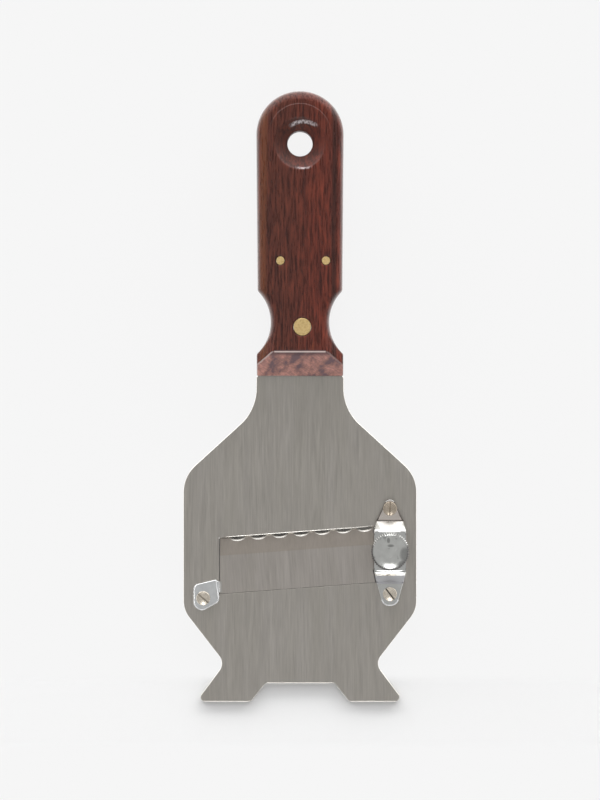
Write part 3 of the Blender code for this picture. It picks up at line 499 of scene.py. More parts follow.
class WoodRecipe(Recipe):
    """Rosewood in the making."""

    def __init__(self, wood: Rosewood) -> None:
        """Start on a kind of rosewood."""
        super().__init__(wood.name)
        self.wood = wood

    def above_facets(self) -> Socket:
        """How far up the handle a point lies from the plane of its facet.

        Returns:
            The distance, 0 on the facets.
        """
        away = self.minus(self.unsigned(self.minus(self.at("Z"), self.wood.middle_z)), self.wood.lip_z)
        plane = self.calculate("MULTIPLY_ADD", away, self.wood.facet_slope, self.wood.end_y)
        return self.minus(self.at("Y"), plane)

    def edge_highlight_share(self, behind: Socket) -> Socket:
        """A painted highlight along the sharp top edge of a facet, and more faintly down its slanted edges.

        Args:
            behind: how far the point lies above the facets' plane.

        Returns:
            1 on the top edge, less on the slanted edges and 0 elsewhere.
        """
        top = self.wood.facet_top_y
        half_width = self.wood.facet_half_width
        inside = self.rescaled(self.unsigned(self.at("X")), half_width - 0.0004, half_width, 1.0, 0.0)
        line = self.window(self.at("Y"), top - 0.00055, top - 0.00010, 0.00012)
        slanted = self.window(behind, 0.00010, 0.00050, 0.00015)
        below = self.rescaled(self.at("Y"), top - 0.0004, top, 0.45, 0.0)
        left = self.rescaled(self.at("X"), -0.002, 0.002, 1.0, 0.35)
        return self.most(self.times(line, inside), self.times(self.times(slanted, below), left))

    def streak_share(self, x: float, half_width: float, wander: float) -> Socket:
        """A streak of other wood along the handle.

        Args:
            x: where the streak runs.
            half_width: half its width.
            wander: how far it wanders to the sides.

        Returns:
            1 in its middle and 0 outside it.
        """
        drift = self.noise((40.0, 28.0, 40.0), 3.0, centre=(x, 0.0, 0.0))
        shift = self.calculate("MULTIPLY_ADD", drift, 2 * wander, -x - wander)
        across = self.unsigned(self.plus(self.at("X"), shift))
        return self.rescaled(across, 0.3 * half_width, half_width, 1.0, 0.0)

    def reach(self, x: float) -> tuple[Socket, Socket]:
        """How far a point lies from the middle of the dish, taken to lie at x, and how far above it."""
        place = self.parts(self.mapped((1.0, 1.0, 1.0), (x, self.wood.hole_y, 0.0)))
        return self.calculate("SQRT", self.reach_squared(place)), place["Y"]

    def rim_highlight_share(self, fibres: Socket) -> Socket:
        """A painted highlight: the ragged pale crescent on the upper rim of the dish, and a fainter one on
        its lower rim.

        Args:
            fibres: the wood's fine fibres.

        Returns:
            1 on the crescent and 0 elsewhere.
        """
        rim = self.wood.rim_radius
        reach, rise = self.reach(self.wood.rim_highlight_x)
        upward = self.calculate("DIVIDE", rise, reach)
        upper = self.times(self.rescaled(upward, 0.74, 0.90, 0.0, 0.80),
                           self.window(reach, rim - 0.0019, rim - 0.0007, 0.0006))
        lower = self.times(self.rescaled(upward, -0.93, -0.99, 0.0, 0.45),
                           self.window(reach, rim - 0.0006, rim, 0.0005))
        return self.times(self.most(upper, lower), self.rescaled(fibres, 0.40, 0.58, 0.10, 1.0))

    def edge_sheen_share(self) -> Socket:
        """How far the wood has turned away from the flat: a painted grey sheen on its rounded edges, as of
        the pale room mirrored there.

        Returns:
            The painted sheen's share on the rounded edges and 0 on flats and upright walls.
        """
        facing = self.parts(self.add("ShaderNodeTexCoord").outputs["Normal"])
        level = self.unsigned(facing["Z"])
        turned = self.rescaled(level, 0.15, 0.80, self.wood.edge_sheen_strength, 0.0)
        return self.times(turned, self.rescaled(level, 0.03, 0.12))

    def ridge_height(self) -> Socket:
        """The small step where the rounding of the edges starts, round the handle's upper end.

        Returns:
            1 on the face inside the step and 0 outside it.
        """
        past = self.minus(self.at("Y"), self.wood.round_y)
        upper = self.squared(self.most(past, 0.0))
        reach = self.calculate("SQRT", self.plus(upper, self.squared(self.at("X"))))
        step = self.rescaled(reach, self.wood.ridge, self.wood.ridge + self.wood.ridge_width, 1.0, 0.0)
        above_waist = self.rescaled(past, -0.052, -0.042)
        return self.times(step, above_waist)

    def side_grain(self, fibres: Socket, hollow: Socket) -> Socket:
        """The wood's colour along the grain.

        Args:
            fibres: its fine fibres.
            hollow: 1 in its pores.

        Returns:
            The colour.
        """
        wood = self.wood
        figure = self.noise((520.0, 42.0, 520.0), 5.0, 0.68, math.radians(0.8), distortion=0.7)
        clouds = self.noise((120.0, 40.0, 120.0), 3.0)
        grown = self.ramp(figure, (0.30, wood.dark), (0.43, wood.middle), (0.55, wood.red),
                          (0.66, wood.middle), (0.76, wood.orange))
        clouded = self.blend(self.rescaled(clouds, 0.40, 0.70, 0.0, 0.45), grown, wood.middle)
        shading = self.ramp(fibres, (0.34, (0.42, 0.38, 0.38)), (0.50, (0.98, 0.98, 0.98)),
                            (0.66, (1.62, 1.52, 1.44)))
        fibrous = self.blend(1.0, clouded, shading, "MULTIPLY")
        warm = self.times(self.streak_share(-0.0128, 0.0018, 0.0006), 0.55)
        cold = self.times(self.streak_share(0.0120, 0.0013, 0.0005), 0.75)
        streaked = self.blend(cold, self.blend(warm, fibrous, wood.orange), wood.streak)
        pored = self.blend(self.times(hollow, 0.75), streaked, wood.streak)
        tint = self.ramp(self.rescaled(self.at("X"), -0.0080, 0.0090), (0.0, (0.88, 1.02, 1.06)),
                         (0.5, (0.94, 0.95, 0.95)), (0.9, (1.14, 1.02, 0.98)))
        return self.blend(1.0, pored, tint, "MULTIPLY")

    def end_grain(self) -> Socket:
        """The wood's colour on the facets: mottled, sawn, and darker just below the top edge and along the
        seam.

        Returns:
            The colour.
        """
        wood = self.wood
        end = self.noise((300.0, 150.0, 300.0), 5.0, 0.62, math.radians(-28), (0.0012, wood.end_y, 0.0))
        saw = self.noise((500.0, 2600.0, 500.0), turn=math.radians(-32))
        grown = self.ramp(end, (0.40, wood.end_dark), (0.50, shade(wood.end_light, 0.66)),
                          (0.60, wood.end_light))
        sawn = self.blend(self.rescaled(saw, 0.35, 0.65, 0.0, 0.42), grown, wood.end_dark)
        height = self.at("Y")
        darker_below_top = self.rescaled(height, wood.facet_top_y - 0.0021, wood.facet_top_y - 0.0010, 0.0, 0.72)
        seam = self.rescaled(height, wood.end_y + 0.0001, wood.end_y + 0.0005, 0.6, 0.0)
        return self.blend(seam, self.blend(darker_below_top, sawn, wood.facet_darkening), wood.facet_darkening)

    def mixed(self) -> Material:
        """Mix the wood.

        Returns:
            The material.
        """
        wood = self.wood
        fibres = self.noise((1350.0, 115.0, 1350.0), 4.0, 0.66)
        hollow = self.rescaled(self.noise((2900.0, 380.0, 2900.0)), 0.30, 0.40, 1.0, 0.0)
        behind = self.above_facets()
        facet = self.rescaled(behind, 0.00012, 0.00032, 1.0, 0.0)
        # Painted sheen: the rounded edges turn grey, as the pale room would show mirrored there
        sides = self.blend(self.edge_sheen_share(), self.side_grain(fibres, hollow), wood.edge_sheen)
        # End grain on the facets, and a painted highlight along their top edges
        edged = self.blend(self.edge_highlight_share(behind), self.blend(facet, sides, self.end_grain()), wood.edge_highlight)
        # Painted highlight: a pale crescent on the dish's upper rim and a faint one on its lower rim
        colour = self.blend(self.rim_highlight_share(fibres), edged, wood.rim_highlight)
        polish = self.rescaled(fibres, 0.25, 0.75, wood.roughness - 0.05, wood.roughness + 0.10)
        dished = self.rescaled(self.reach(0.0)[0], wood.rim_radius - 0.0006, wood.rim_radius,
                               wood.dish_dullness, 0.0)
        roughness = self.calculate("MULTIPLY_ADD", facet, wood.end_dullness, self.plus(polish, dished))
        self.fill(self.shader, Specular_IOR_Level=wood.gloss)
        ridge = self.bump(self.ridge_height(), wood.ridge_step)
        grain = self.bump(fibres, wood.fibre_height, 1.0, ridge)
        relief = self.bump(self.minus(1.0, hollow), wood.pore_depth, 0.6, grain)
        return self.finished(colour, roughness, relief, 0.0)


# The workshop


@dataclass(frozen=True)
class Corner:
    """A corner of an outline, with the radius that rounds it."""

    x: float
    y: float
    radius: float = 0.0

    def start(self) -> Vector:
        """Where the outline comes in, before rounding."""
        return Vector((self.x, self.y, 0.0))

    def end(self) -> Vector:
        """Where the outline goes on, before rounding."""
        return self.start()

    def flipped(self) -> "Corner":
        """The same corner on the other side of the middle."""
        return Corner(-self.x, self.y, self.radius)


@dataclass(frozen=True)
class Bow:
    """A stretch of an outline that runs round a centre."""

    centre: Point
    radius: float
    first_angle: float
    sweep: float

    def at(self, angle: float) -> Vector:
        """The point of the bow at an angle."""
        x = self.centre[0] + self.radius * math.cos(angle)
        return Vector((x, self.centre[1] + self.radius * math.sin(angle), 0.0))

    def start(self) -> Vector:
        """Where the bow starts."""
        return self.at(self.first_angle)

    def end(self) -> Vector:
        """Where the bow ends."""
        return self.at(self.first_angle + self.sweep)

    def flipped(self) -> "Bow":
        """The same bow on the other side of the middle, run the other way."""
        centre = (-self.centre[0], self.centre[1])
        return Bow(centre, self.radius, math.pi - self.first_angle - self.sweep, self.sweep)


Stroke = Corner | Bow


def with_mirror(right_half: Sequence[Stroke]) -> list[Stroke]:
    """Both halves of an outline whose right half runs upwards."""
    return [*right_half, *(stroke.flipped() for stroke in reversed(right_half))]


def ring(x: float, y: float, radius: float) -> list[Stroke]:
    """A round hole or disc as an outline."""
    return [Bow((x, y), radius, 0.0, math.tau)]


class Workpiece:
    """A piece on the bench: a bmesh, and the steps that shape it."""

    def __init__(self) -> None:
        """Start with nothing on the bench."""
        self.mesh = bmesh.new()

    def swept(self, start: Vector, centre: Vector, angle: float) -> list[Vert]:
        """A chain of points spun from one point round a centre.

        Args:
            start: the first point.
            centre: the centre that it turns about.
            angle: how far it turns, counter-clockwise.

        Returns:
            The first and the last point of the chain.
        """
        first = self.mesh.verts.new(start)
        if abs(angle) >= math.tau:
            steps = ROUND_SEGMENTS
        else:
            steps = max(2, math.ceil(abs(angle) / ARC_STEP))
        spun = bmesh.ops.spin(self.mesh, geom=[first], cent=centre, axis=(0.0, 0.0, 1.0), angle=angle,
                              steps=steps, use_merge=False, use_duplicate=False)
        last = next(part for part in spun["geom_last"] if isinstance(part, Vert))
        return [first, last]

    def rounded(self, corner: Corner, before: Vector, after: Vector) -> list[Vert]:
        """A corner as a chain of points between its two sides.

        Args:
            corner: the corner.
            before: where the side before it starts.
            after: where the side after it ends.

        Returns:
            The first and the last point of the chain.
        """
        tip = corner.start()
        backward = (before - tip).normalized()
        forward = (after - tip).normalized()
        if corner.radius == 0.0:
            only = self.mesh.verts.new(tip)
            return [only, only]
        half_angle = backward.angle(forward) / 2
        reach = corner.radius / math.tan(half_angle)
        centre = tip + (backward + forward).normalized() * corner.radius / math.sin(half_angle)
        turn = (math.pi - 2 * half_angle) * math.copysign(1.0, (-backward).cross(forward).z)
        return self.swept(tip + backward * reach, centre, turn)

    def outline(self, strokes: Sequence[Stroke]) -> None:
        """Draw a closed outline of corners and bows.

        Args:
            strokes: its corners and bows in order.
        """
        chains = []
        for index, stroke in enumerate(strokes):
            if isinstance(stroke, Bow):
                chains.append(self.swept(stroke.start(), Vector((*stroke.centre, 0.0)), stroke.sweep))
                continue
            before = strokes[index - 1].end()
            after = strokes[(index + 1) % len(strokes)].start()
            chains.append(self.rounded(stroke, before, after))
        for chain, following in zip(chains, chains[1:] + chains[:1]):
            gap = (chain[1].co - following[0].co).length
            if gap > WELD:
                self.mesh.edges.new((chain[1], following[0]))
        bmesh.ops.remove_doubles(self.mesh, verts=self.mesh.verts, dist=WELD)

    def fill(self) -> None:
        """Fill the outlines on the bench, leaving the inner ones open."""
        bmesh.ops.triangle_fill(self.mesh, use_beauty=True, use_dissolve=False, edges=self.mesh.edges)

    def thicken(self, low: float, high: float) -> list[Vert]:
        """Make a solid of what is filled, between two heights.

        Args:
            low: the height of its underside.
            high: the height of its top.

        Returns:
            The points of its top.
        """
        bmesh.ops.translate(self.mesh, verts=self.mesh.verts, vec=(0.0, 0.0, low))
        grown = bmesh.ops.extrude_face_region(self.mesh, geom=self.mesh.faces[:])
        top = [part for part in grown["geom"] if isinstance(part, Vert)]
        bmesh.ops.translate(self.mesh, verts=top, vec=(0.0, 0.0, high - low))
        bmesh.ops.recalc_face_normals(self.mesh, faces=self.mesh.faces)
        return top

    def slice_at(self, point: Sequence[float], normal: Sequence[float]) -> None:
        """Draw a line across the faces where a plane meets them."""
        everything = self.mesh.verts[:] + self.mesh.edges[:] + self.mesh.faces[:]
        bmesh.ops.bisect_plane(self.mesh, geom=everything, dist=WELD / 10, plane_co=point, plane_no=normal)

    def cut(self, outlines: Sequence[Sequence[Stroke]], low: float, high: float) -> None:
        """Cut a flat piece out with its holes.

        Args:
            outlines: its outline and those of its holes.
            low: the height of its underside.
            high: the height of its top.
        """
        for strokes in outlines:
            self.outline(strokes)
        self.fill()
        self.thicken(low, high)

    def rims(self, angle: float = SHARP_ANGLE) -> list[Edge]:
        """The edges whose faces meet at more than an angle."""
        walled = [edge for edge in self.mesh.edges if len(edge.link_faces) == 2]
        return [edge for edge in walled if edge.calc_face_angle() > angle]

    def ease(self, edges: Iterable[Edge], width: float, segments: int = 3, number: int = -1) -> None:
        """Round edges.

        Args:
            edges: the edges.
            width: how far the rounding reaches on each side.
            segments: how many steps it takes.
            number: the material number of the rounding, or -1 to take its neighbours'.
        """
        eased = bmesh.ops.bevel(self.mesh, geom=list(edges), offset=width, offset_type="OFFSET",
                                segments=segments, profile=0.5, affect="EDGES", material=-1,
                                clamp_overlap=False)
        if number >= 0:
            for face in eased["faces"]:
                face.material_index = number

    def turned(self, profile: Sequence[Point]) -> None:
        """Spin a profile about Z into a closed round piece.

        Args:
            profile: its points (radius, z) from the axis above, round the outside, to the axis below.
        """
        points = [self.mesh.verts.new((radius, 0.0, z)) for radius, z in profile]
        lines = [self.mesh.edges.new(pair) for pair in zip(points, points[1:])]
        bmesh.ops.spin(self.mesh, geom=points + lines, cent=ORIGIN, axis=(0.0, 0.0, 1.0),
                       angle=math.tau, steps=ROUND_SEGMENTS, use_merge=True, use_duplicate=False)
        self.mend()

    def mend(self) -> None:
        """Weld points that meet, and turn every face outwards."""
        bmesh.ops.remove_doubles(self.mesh, verts=self.mesh.verts, dist=WELD)
        bmesh.ops.recalc_face_normals(self.mesh, faces=self.mesh.faces)

    def shift(self, x: float, y: float) -> None:
        """Move everything on the bench."""
        bmesh.ops.translate(self.mesh, verts=self.mesh.verts, vec=(x, y, 0.0))

    def turn(self, angle: float, axis: str) -> None:
        """Turn everything on the bench about an axis, X, Y or Z."""
        about = Matrix.Rotation(angle, 3, axis)
        bmesh.ops.rotate(self.mesh, verts=self.mesh.verts, cent=ORIGIN, matrix=about)

    def shade_flats(self) -> None:
        """Shade level faces flat and all others smooth."""
        bmesh.ops.triangulate(self.mesh, faces=[face for face in self.mesh.faces if len(face.verts) > 4])
        for face in self.mesh.faces:
            face.smooth = abs(face.normal.z) < math.cos(FLAT_ANGLE)

    def solid(self, name: str, crease: float = CREASE_ANGLE) -> Piece:
        """Take the piece off the bench as an object, still in the slicer's own measures.

        Args:
            name: the object's name.
            crease: the angle from which an edge shows as a crease.

        Returns:
            The object.
        """
        for edge in self.mesh.edges:
            edge.smooth = len(edge.link_faces) == 2 and edge.calc_face_angle() < crease
        mesh = bpy.data.meshes.new(name)
        self.mesh.to_mesh(mesh)
        self.mesh.free()
        piece = bpy.data.objects.new(name, mesh)
        bpy.context.scene.collection.objects.link(piece)
        return piece


def stamped(name: str, outlines: Sequence[Sequence[Stroke]], low: float, high: float,
            rounding: float = 0.0, middle: Point = (0.0, 0.0)) -> Piece:
    """Cut out a flat piece and ease its edges.

    Args:
        name: its name.
        outlines: its outline and those of its holes, about its middle.
        low: the height of its underside.
        high: the height of its top.
        rounding: how far its edges are eased.
        middle: where its middle goes.

    Returns:
        The piece.
    """
    sheet = Workpiece()
    sheet.cut(outlines, low, high)
    if rounding > 0.0:
        sheet.ease(sheet.rims(), rounding, 2)
    sheet.shade_flats()
    sheet.shift(*middle)
    return sheet.solid(name)


def settle(piece: Piece, *modifiers: tuple[str, dict[str, object]]) -> None:
    """Give a piece modifiers and keep their result as its mesh.

    Args:
        piece: the piece.
        modifiers: the kind of each, with its settings by their names.
    """
    for kind, settings in modifiers:
        modifier = piece.modifiers.new(kind.lower(), kind)
        for name, value in settings.items():
            setattr(modifier, name, value)
    depsgraph = bpy.context.evaluated_depsgraph_get()
    result = bpy.data.meshes.new_from_object(piece.evaluated_get(depsgraph))
    piece.modifiers.clear()
    piece.data = result


def mount(piece: Piece, finishes: Iterable[Material], body: Body, node: str) -> None:
    """Dress a piece, set it in the frame and let it stand for its node.

    Args:
        piece: the piece, in the slicer's own measures.
        finishes: its materials, in the order of its faces' material numbers.
        body: the body that it rides on.
        node: the node that it stands for.
    """
    for finish in finishes:
        piece.data.materials.append(finish)
    piece.data.transform(Matrix.Translation((0.0, FEET_Y, PLATE_MIDDLE_Z)))
    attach(piece, body.value)
    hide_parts(node)
    triangles = sum(len(face.vertices) - 2 for face in piece.data.polygons)
    LOG.info("%s: %d triangles on %s", piece.name, triangles, body.value)


# Plate


@dataclass
class Plate:
    """The steel plate with its feet, its slot and the tang inside the handle."""

    thickness: float = 0.0015
    half_width: float = 0.0410
    shoulder_y: float = 0.0793
    shoulder_radius: float = 0.0127
    neck_half_width: float = 0.01535
    neck_y: float = 0.1027
    neck_radius: float = 0.0170
    side_end_y: float = 0.0322
    side_end_radius: float = 0.0095
    waist_half_width: float = 0.0265
    waist_y: float = 0.0135
    waist_radius: float = 0.0041
    foot_outer: float = 0.0366
    foot_inner: float = 0.0173
    foot_radius: float = 0.0016
    notch_half_width: float = 0.0121
    notch_depth: float = 0.0065
    notch_radius: float = 0.0015
    tang_inset: float = 0.0002
    tang_top_y: float = 0.1595
    tang_gap: float = 0.0003
    slot_left: float = -0.0284
    slot_right: float = 0.0352
    slot_bottom: float = 0.0378
    slot_height: float = 0.0197
    slot_climb: float = math.radians(4.2)
    bore_clearance: float = 0.0001
    edge_rounding: float = 0.00022
    slot_top_rounding: float = 0.00036
    slot_low_rounding: float = 0.00012

    def front_z(self) -> float:
        """The height of the plate's front."""
        return self.thickness / 2

    def slot_y(self, x: float, y_at_left: float) -> float:
        """The height at x of a line that climbs with the slot's long edges."""
        return y_at_left + (x - self.slot_left) * math.tan(self.slot_climb)

    def slot_top(self) -> float:
        """The height of the slot's top at its left end."""
        return self.slot_bottom + self.slot_height

    def slot(self) -> list[Stroke]:
        """Draw the blade's slot.

        Returns:
            The outline.
        """
        low, high, right = self.slot_bottom, self.slot_top(), self.slot_right
        return [
            Corner(self.slot_left, low),
            Corner(right, self.slot_y(right, low)),
            Corner(right, self.slot_y(right, high)),
            Corner(self.slot_left, high),
        ]

    def outline(self, wood: "Handle") -> list[Stroke]:
        """The plate's outline with its tang.

        Args:
            wood: the handle that the tang lies in.

        Returns:
            The outline.
        """
        waist = wood.waist()
        inner_waist = Bow((waist.centre[0] - self.tang_inset, waist.centre[1]), waist.radius,
                          waist.first_angle, waist.sweep)
        return with_mirror([
            Corner(self.notch_half_width, self.notch_depth, self.notch_radius),
            Corner(self.foot_inner, 0.0, self.foot_radius),
            Corner(self.foot_outer, 0.0, self.foot_radius),
            Corner(self.waist_half_width, self.waist_y, self.waist_radius),
            Corner(self.half_width, self.side_end_y, self.side_end_radius),
            Corner(self.half_width, self.shoulder_y, self.shoulder_radius),
            Corner(self.neck_half_width, self.neck_y, self.neck_radius),
            Corner(self.neck_half_width, wood.end_y - self.tang_gap),
            Corner(wood.foot_half_width - self.tang_inset, wood.end_y),
            inner_waist,
            Corner(wood.corner_half_width - self.tang_inset, self.tang_top_y),
        ])

    def build(self, wood: "Handle", holes: Sequence[Triple]) -> Piece:
        """Cut the plate out and round its edges.

        Args:
            wood: the handle that the tang lies in.
            holes: the round holes for screws and brass, as x, y and radius.

        Returns:
            The plate.
        """
        bores = [ring(x, y, radius + self.bore_clearance) for x, y, radius in holes]
        sheet = Workpiece()
        sheet.cut([self.outline(wood), self.slot(), *bores], -self.thickness / 2, self.thickness / 2)
        rims = sheet.rims()
        top_rims = [edge for edge in rims if self.on_line(edge, self.slot_top())]
        low_rims = [edge for edge in rims if self.on_line(edge, self.slot_bottom)]
        in_slot = {*top_rims, *low_rims, *(edge for edge in rims if self.at_slot_end(edge))}
        sheet.ease([edge for edge in rims if edge not in in_slot], self.edge_rounding, number=1)
        sheet.ease([edge for edge in top_rims if edge.is_valid], self.slot_top_rounding, number=1)
        sheet.ease([edge for edge in low_rims if edge.is_valid], self.slot_low_rounding, number=0)
        sheet.shade_flats()
        return sheet.solid("plate_with_tang")

    def at_slot_end(self, edge: Edge) -> bool:
        """Whether an edge lies on one of the slot's ends, which stay sharp.

        Args:
            edge: the edge.

        Returns:
            Whether it does.
        """
        ends = (self.slot_left, self.slot_right)
        inside = all(self.slot_bottom - WELD < vert.co.y < self.shoulder_y for vert in edge.verts)
        return inside and any(all(abs(vert.co.x - end) < WELD for vert in edge.verts) for end in ends)

    def on_line(self, edge: Edge, y_at_left: float) -> bool:
        """Whether an edge lies along one of the slot's long edges and is level."""
        level = abs(edge.verts[0].co.z - edge.verts[1].co.z) < WELD
        return level and all(abs(vert.co.y - self.slot_y(vert.co.x, y_at_left)) < WELD for vert in edge.verts)

    def dress(self, piece: Piece, steel: BrushedSteel, rim: PolishedSteel) -> None:
        """Brush the plate along its length and polish its rim."""
        mount(piece, [steel.material(), rim.material()], Body.SLICER, "slicer_plate")


# Handle and brass


@dataclass
class Handle:
    """The wooden handle: rounded along its edges, waisted, with a dished hanging hole and end facets."""

    length: float = 0.1002
    end_y: float = 0.1143
    thickness: float = 0.0170
    half_width: float = 0.01535
    corner_half_width: float = 0.0149
    foot_half_width: float = 0.0152
    waist_half_width: float = 0.0103
    waist_radius: float = 0.0153
    waist_y: float = 0.1334
    edge_radius: float = 0.0035
    edge_steps: int = 8
    lip: float = 0.0005
    facet_length: float = 0.0090
    chamfer_half_width: float = 0.0092
    chamfer_width: float = 0.0053
    chamfer_drop: float = 0.0038
    chamfer_creep: float = 0.0011
    hole_radius: float = 0.00445
    hole_setback: float = 0.0185
    dish_radius: float = 0.0090
    dish_depth: float = 0.0030
    dish_steps: int = 14
    kerf: float = 0.0021
    kerf_top_y: float = 0.1598
    bore_clearance: float = 0.0001
    grain_size: float = 0.00042
    sanding: int = 6
    sanding_strength: float = 0.5

    def top_y(self) -> float:
        """The height of the handle's tip."""
        return self.end_y + self.length

    def lip_z(self) -> float:
        """How far from the middle the narrow end face reaches."""
        return self.kerf / 2 + self.lip

    def facet_slope(self) -> float:
        """How far a facet runs up the handle for each step away from the plate."""
        return self.facet_length / (self.thickness / 2 - self.lip_z())

    def clear_y(self) -> float:
        """The height from which the tools at the handle's end start, clear of the wood."""
        return self.end_y - self.edge_radius - 2 * OVERCUT

    def waist(self) -> Bow:
        """The hollow in the right side, from its lower corner up to its upper one.

        Returns:
            The hollow.
        """
        centre_x = self.waist_half_width + self.waist_radius
        low = math.acos((centre_x - self.foot_half_width) / self.waist_radius)
        high = math.acos((centre_x - self.corner_half_width) / self.waist_radius)
        return Bow((centre_x, self.waist_y), self.waist_radius, math.pi + low, -low - high)

    def outline(self) -> list[Stroke]:
        """The wood's outline, which runs past the end that the facets cut."""
        tip = Bow((0.0, self.top_y() - self.half_width), self.half_width, 0.0, math.pi / 2)
        return with_mirror([Corner(self.foot_half_width, self.clear_y() + OVERCUT), self.waist(), tip])

    def blank(self) -> Piece:
        """Saw the blank and round its long edges.

        Returns:
            The blank.
        """
        wood = Workpiece()
        wood.outline(self.outline())
        bmesh.ops.contextual_create(wood.mesh, geom=wood.mesh.edges[:])
        wood.thicken(-self.thickness / 2, self.thickness / 2)
        wood.ease(wood.rims(), self.edge_radius, self.edge_steps)
        return wood.solid("wooden_handle")

    def saw(self) -> Piece:
        """What the saw takes out for the tang.

        Returns:
            The tool.
        """
        low, high, wide = self.clear_y(), self.kerf_top_y, self.half_width + OVERCUT
        corners = [Corner(-wide, low), Corner(wide, low), Corner(wide, high), Corner(-wide, high)]
        return stamped("saw", [corners], -self.kerf / 2, self.kerf / 2)

    def hole(self) -> Piece:
        """What the hanging hole and its two dishes take out.

        Returns:
            The tool.
        """
        half = self.thickness / 2
        rise = (self.dish_radius ** 2 - self.hole_radius ** 2 - self.dish_depth ** 2) / (2 * self.dish_depth)
        bowl = math.hypot(self.dish_radius, rise)
        rim = math.asin(self.dish_radius / bowl)
        bore = math.asin(self.hole_radius / bowl)
        wall = [(self.dish_radius, half + OVERCUT)]
        for step in range(self.dish_steps + 1):
            angle = rim + (bore - rim) * step / self.dish_steps
            wall.append((bowl * math.sin(angle), half + rise - bowl * math.cos(angle)))
        below = [(radius, -z) for radius, z in reversed(wall)]
        cut = Workpiece()
        cut.turned([(0.0, half + OVERCUT), *wall, *below, (0.0, -half - OVERCUT)])
        cut.shift(0.0, self.top_y() - self.hole_setback)
        return cut.solid("hanging_hole")

    def facets(self) -> Piece:
        """What the two end facets take away.

        Returns:
            The tool.
        """
        far_z = self.thickness / 2 + OVERCUT
        far_y = self.end_y + self.facet_slope() * (far_z - self.lip_z())
        corners = [Corner(self.end_y, -self.lip_z()), Corner(self.end_y, self.lip_z()), Corner(far_y, far_z),
                   Corner(self.clear_y(), far_z), Corner(self.clear_y(), -far_z), Corner(far_y, -far_z)]
        wide = self.foot_half_width + OVERCUT
        cut = Workpiece()
        cut.cut([corners], -wide, wide)
        turn = Matrix.Rotation(math.pi / 2, 4, "Z") @ Matrix.Rotation(math.pi / 2, 4, "X")
        bmesh.ops.transform(cut.mesh, matrix=turn, verts=cut.mesh.verts)
        return cut.solid("end_facets")

    def chamfer(self, side: int, face: int) -> Piece:
        """What a chamfer beside a facet takes away.

        Args:
            side: 1 on the right and -1 on the left.
            face: 1 on the front and -1 on the back.

        Returns:
            The block whose underside is the chamfer.
        """
        face_z = face * self.thickness / 2
        corner = Vector((side * self.chamfer_half_width, self.end_y + self.facet_length, face_z))
        outward = Vector((side * self.chamfer_width, 0.0, -face * self.chamfer_drop)).normalized()
        run_out = Vector((side * (self.chamfer_half_width - self.chamfer_creep), self.waist_y, face_z))
        upward = (run_out - corner).normalized()
        normal = (outward.cross(upward) * side * face).normalized()
        across = upward.cross(normal)
        size = 2 * self.thickness
        centre = run_out - upward * size / 2 + normal * size / 2
        turn = Matrix((across, upward, normal)).transposed().to_4x4()
        cut = Workpiece()
        bmesh.ops.create_cube(cut.mesh, size=size, matrix=Matrix.Translation(centre) @ turn)
        bmesh.ops.recalc_face_normals(cut.mesh, faces=cut.mesh.faces)
        return cut.solid("chamfer")

    def bore(self, x: float, y: float, radius: float) -> Piece:
        """What the drill takes out for a piece of brass of a radius."""
        return stamped("bore", [ring(x, y, radius + self.bore_clearance)], -self.thickness, self.thickness)

    def build(self, brass: Sequence[Triple]) -> Piece:
        """Saw, drill, facet and sand the handle.

        Args:
            brass: where the brass goes, as x, y and radius.

        Returns:
            The handle.
        """
        wood = self.blank()
        tools = [self.saw(), self.hole(), self.facets()]
        tools += [self.chamfer(side, face) for side in (1, -1) for face in (1, -1)]
        tools += [self.bore(x, y, radius) for x, y, radius in brass]
        carving = {"operation": "DIFFERENCE", "solver": "EXACT"}
        settle(wood, *(("BOOLEAN", {**carving, "object": tool}) for tool in tools))
        for tool in tools:
            bpy.data.objects.remove(tool)
        grains = {"mode": "VOXEL", "voxel_size": self.grain_size, "use_smooth_shade": True}
        smoothing = {"factor": self.sanding_strength, "iterations": self.sanding}
        settle(wood, ("REMESH", grains), ("SMOOTH", smoothing))
        return wood

    def dress(self, piece: Piece) -> None:
        """Oil the wood.

        Args:
            piece: the handle.
        """
        top_y = self.top_y() + FEET_Y
        end_y = self.end_y + FEET_Y
        wood = Rosewood(end_y=end_y, facet_top_y=end_y + self.facet_length, hole_y=top_y - self.hole_setback,
                        facet_half_width=self.chamfer_half_width, facet_slope=self.facet_slope(),
                        lip_z=self.lip_z(), rim_radius=self.dish_radius, middle_z=PLATE_MIDDLE_Z,
                        round_y=top_y - self.half_width)
        mount(piece, [wood.material()], Body.SLICER, "handle")


@dataclass
class Brass:
    """A brass rivet or pin that goes through wood and tang, ground flush at both ends."""

    node: str
    name: str
    x: float
    y: float
    radius: float
    half_length: float = 0.0085
    rounding: float = 0.00012

    def build(self) -> Piece:
        """Cut the rod and ease its ends."""
        return stamped(self.name, [ring(self.x, self.y, self.radius)], -self.half_length, self.half_length,
                       self.rounding)

    def dress(self, piece: Piece, finish: GroundBrass) -> None:
        """Grind the brass."""
        mount(piece, [finish.material()], Body.SLICER, self.node)


# Blade


class BladeFace(Enum):
    """The stretches of the blade that are finished differently, and the ear's rim where it gets a painted
    highlight.
    """

    FLAT = 0
    GRIND = 1
    SCALLOP = 2
    EAR = 3
    EAR_RIM = 4


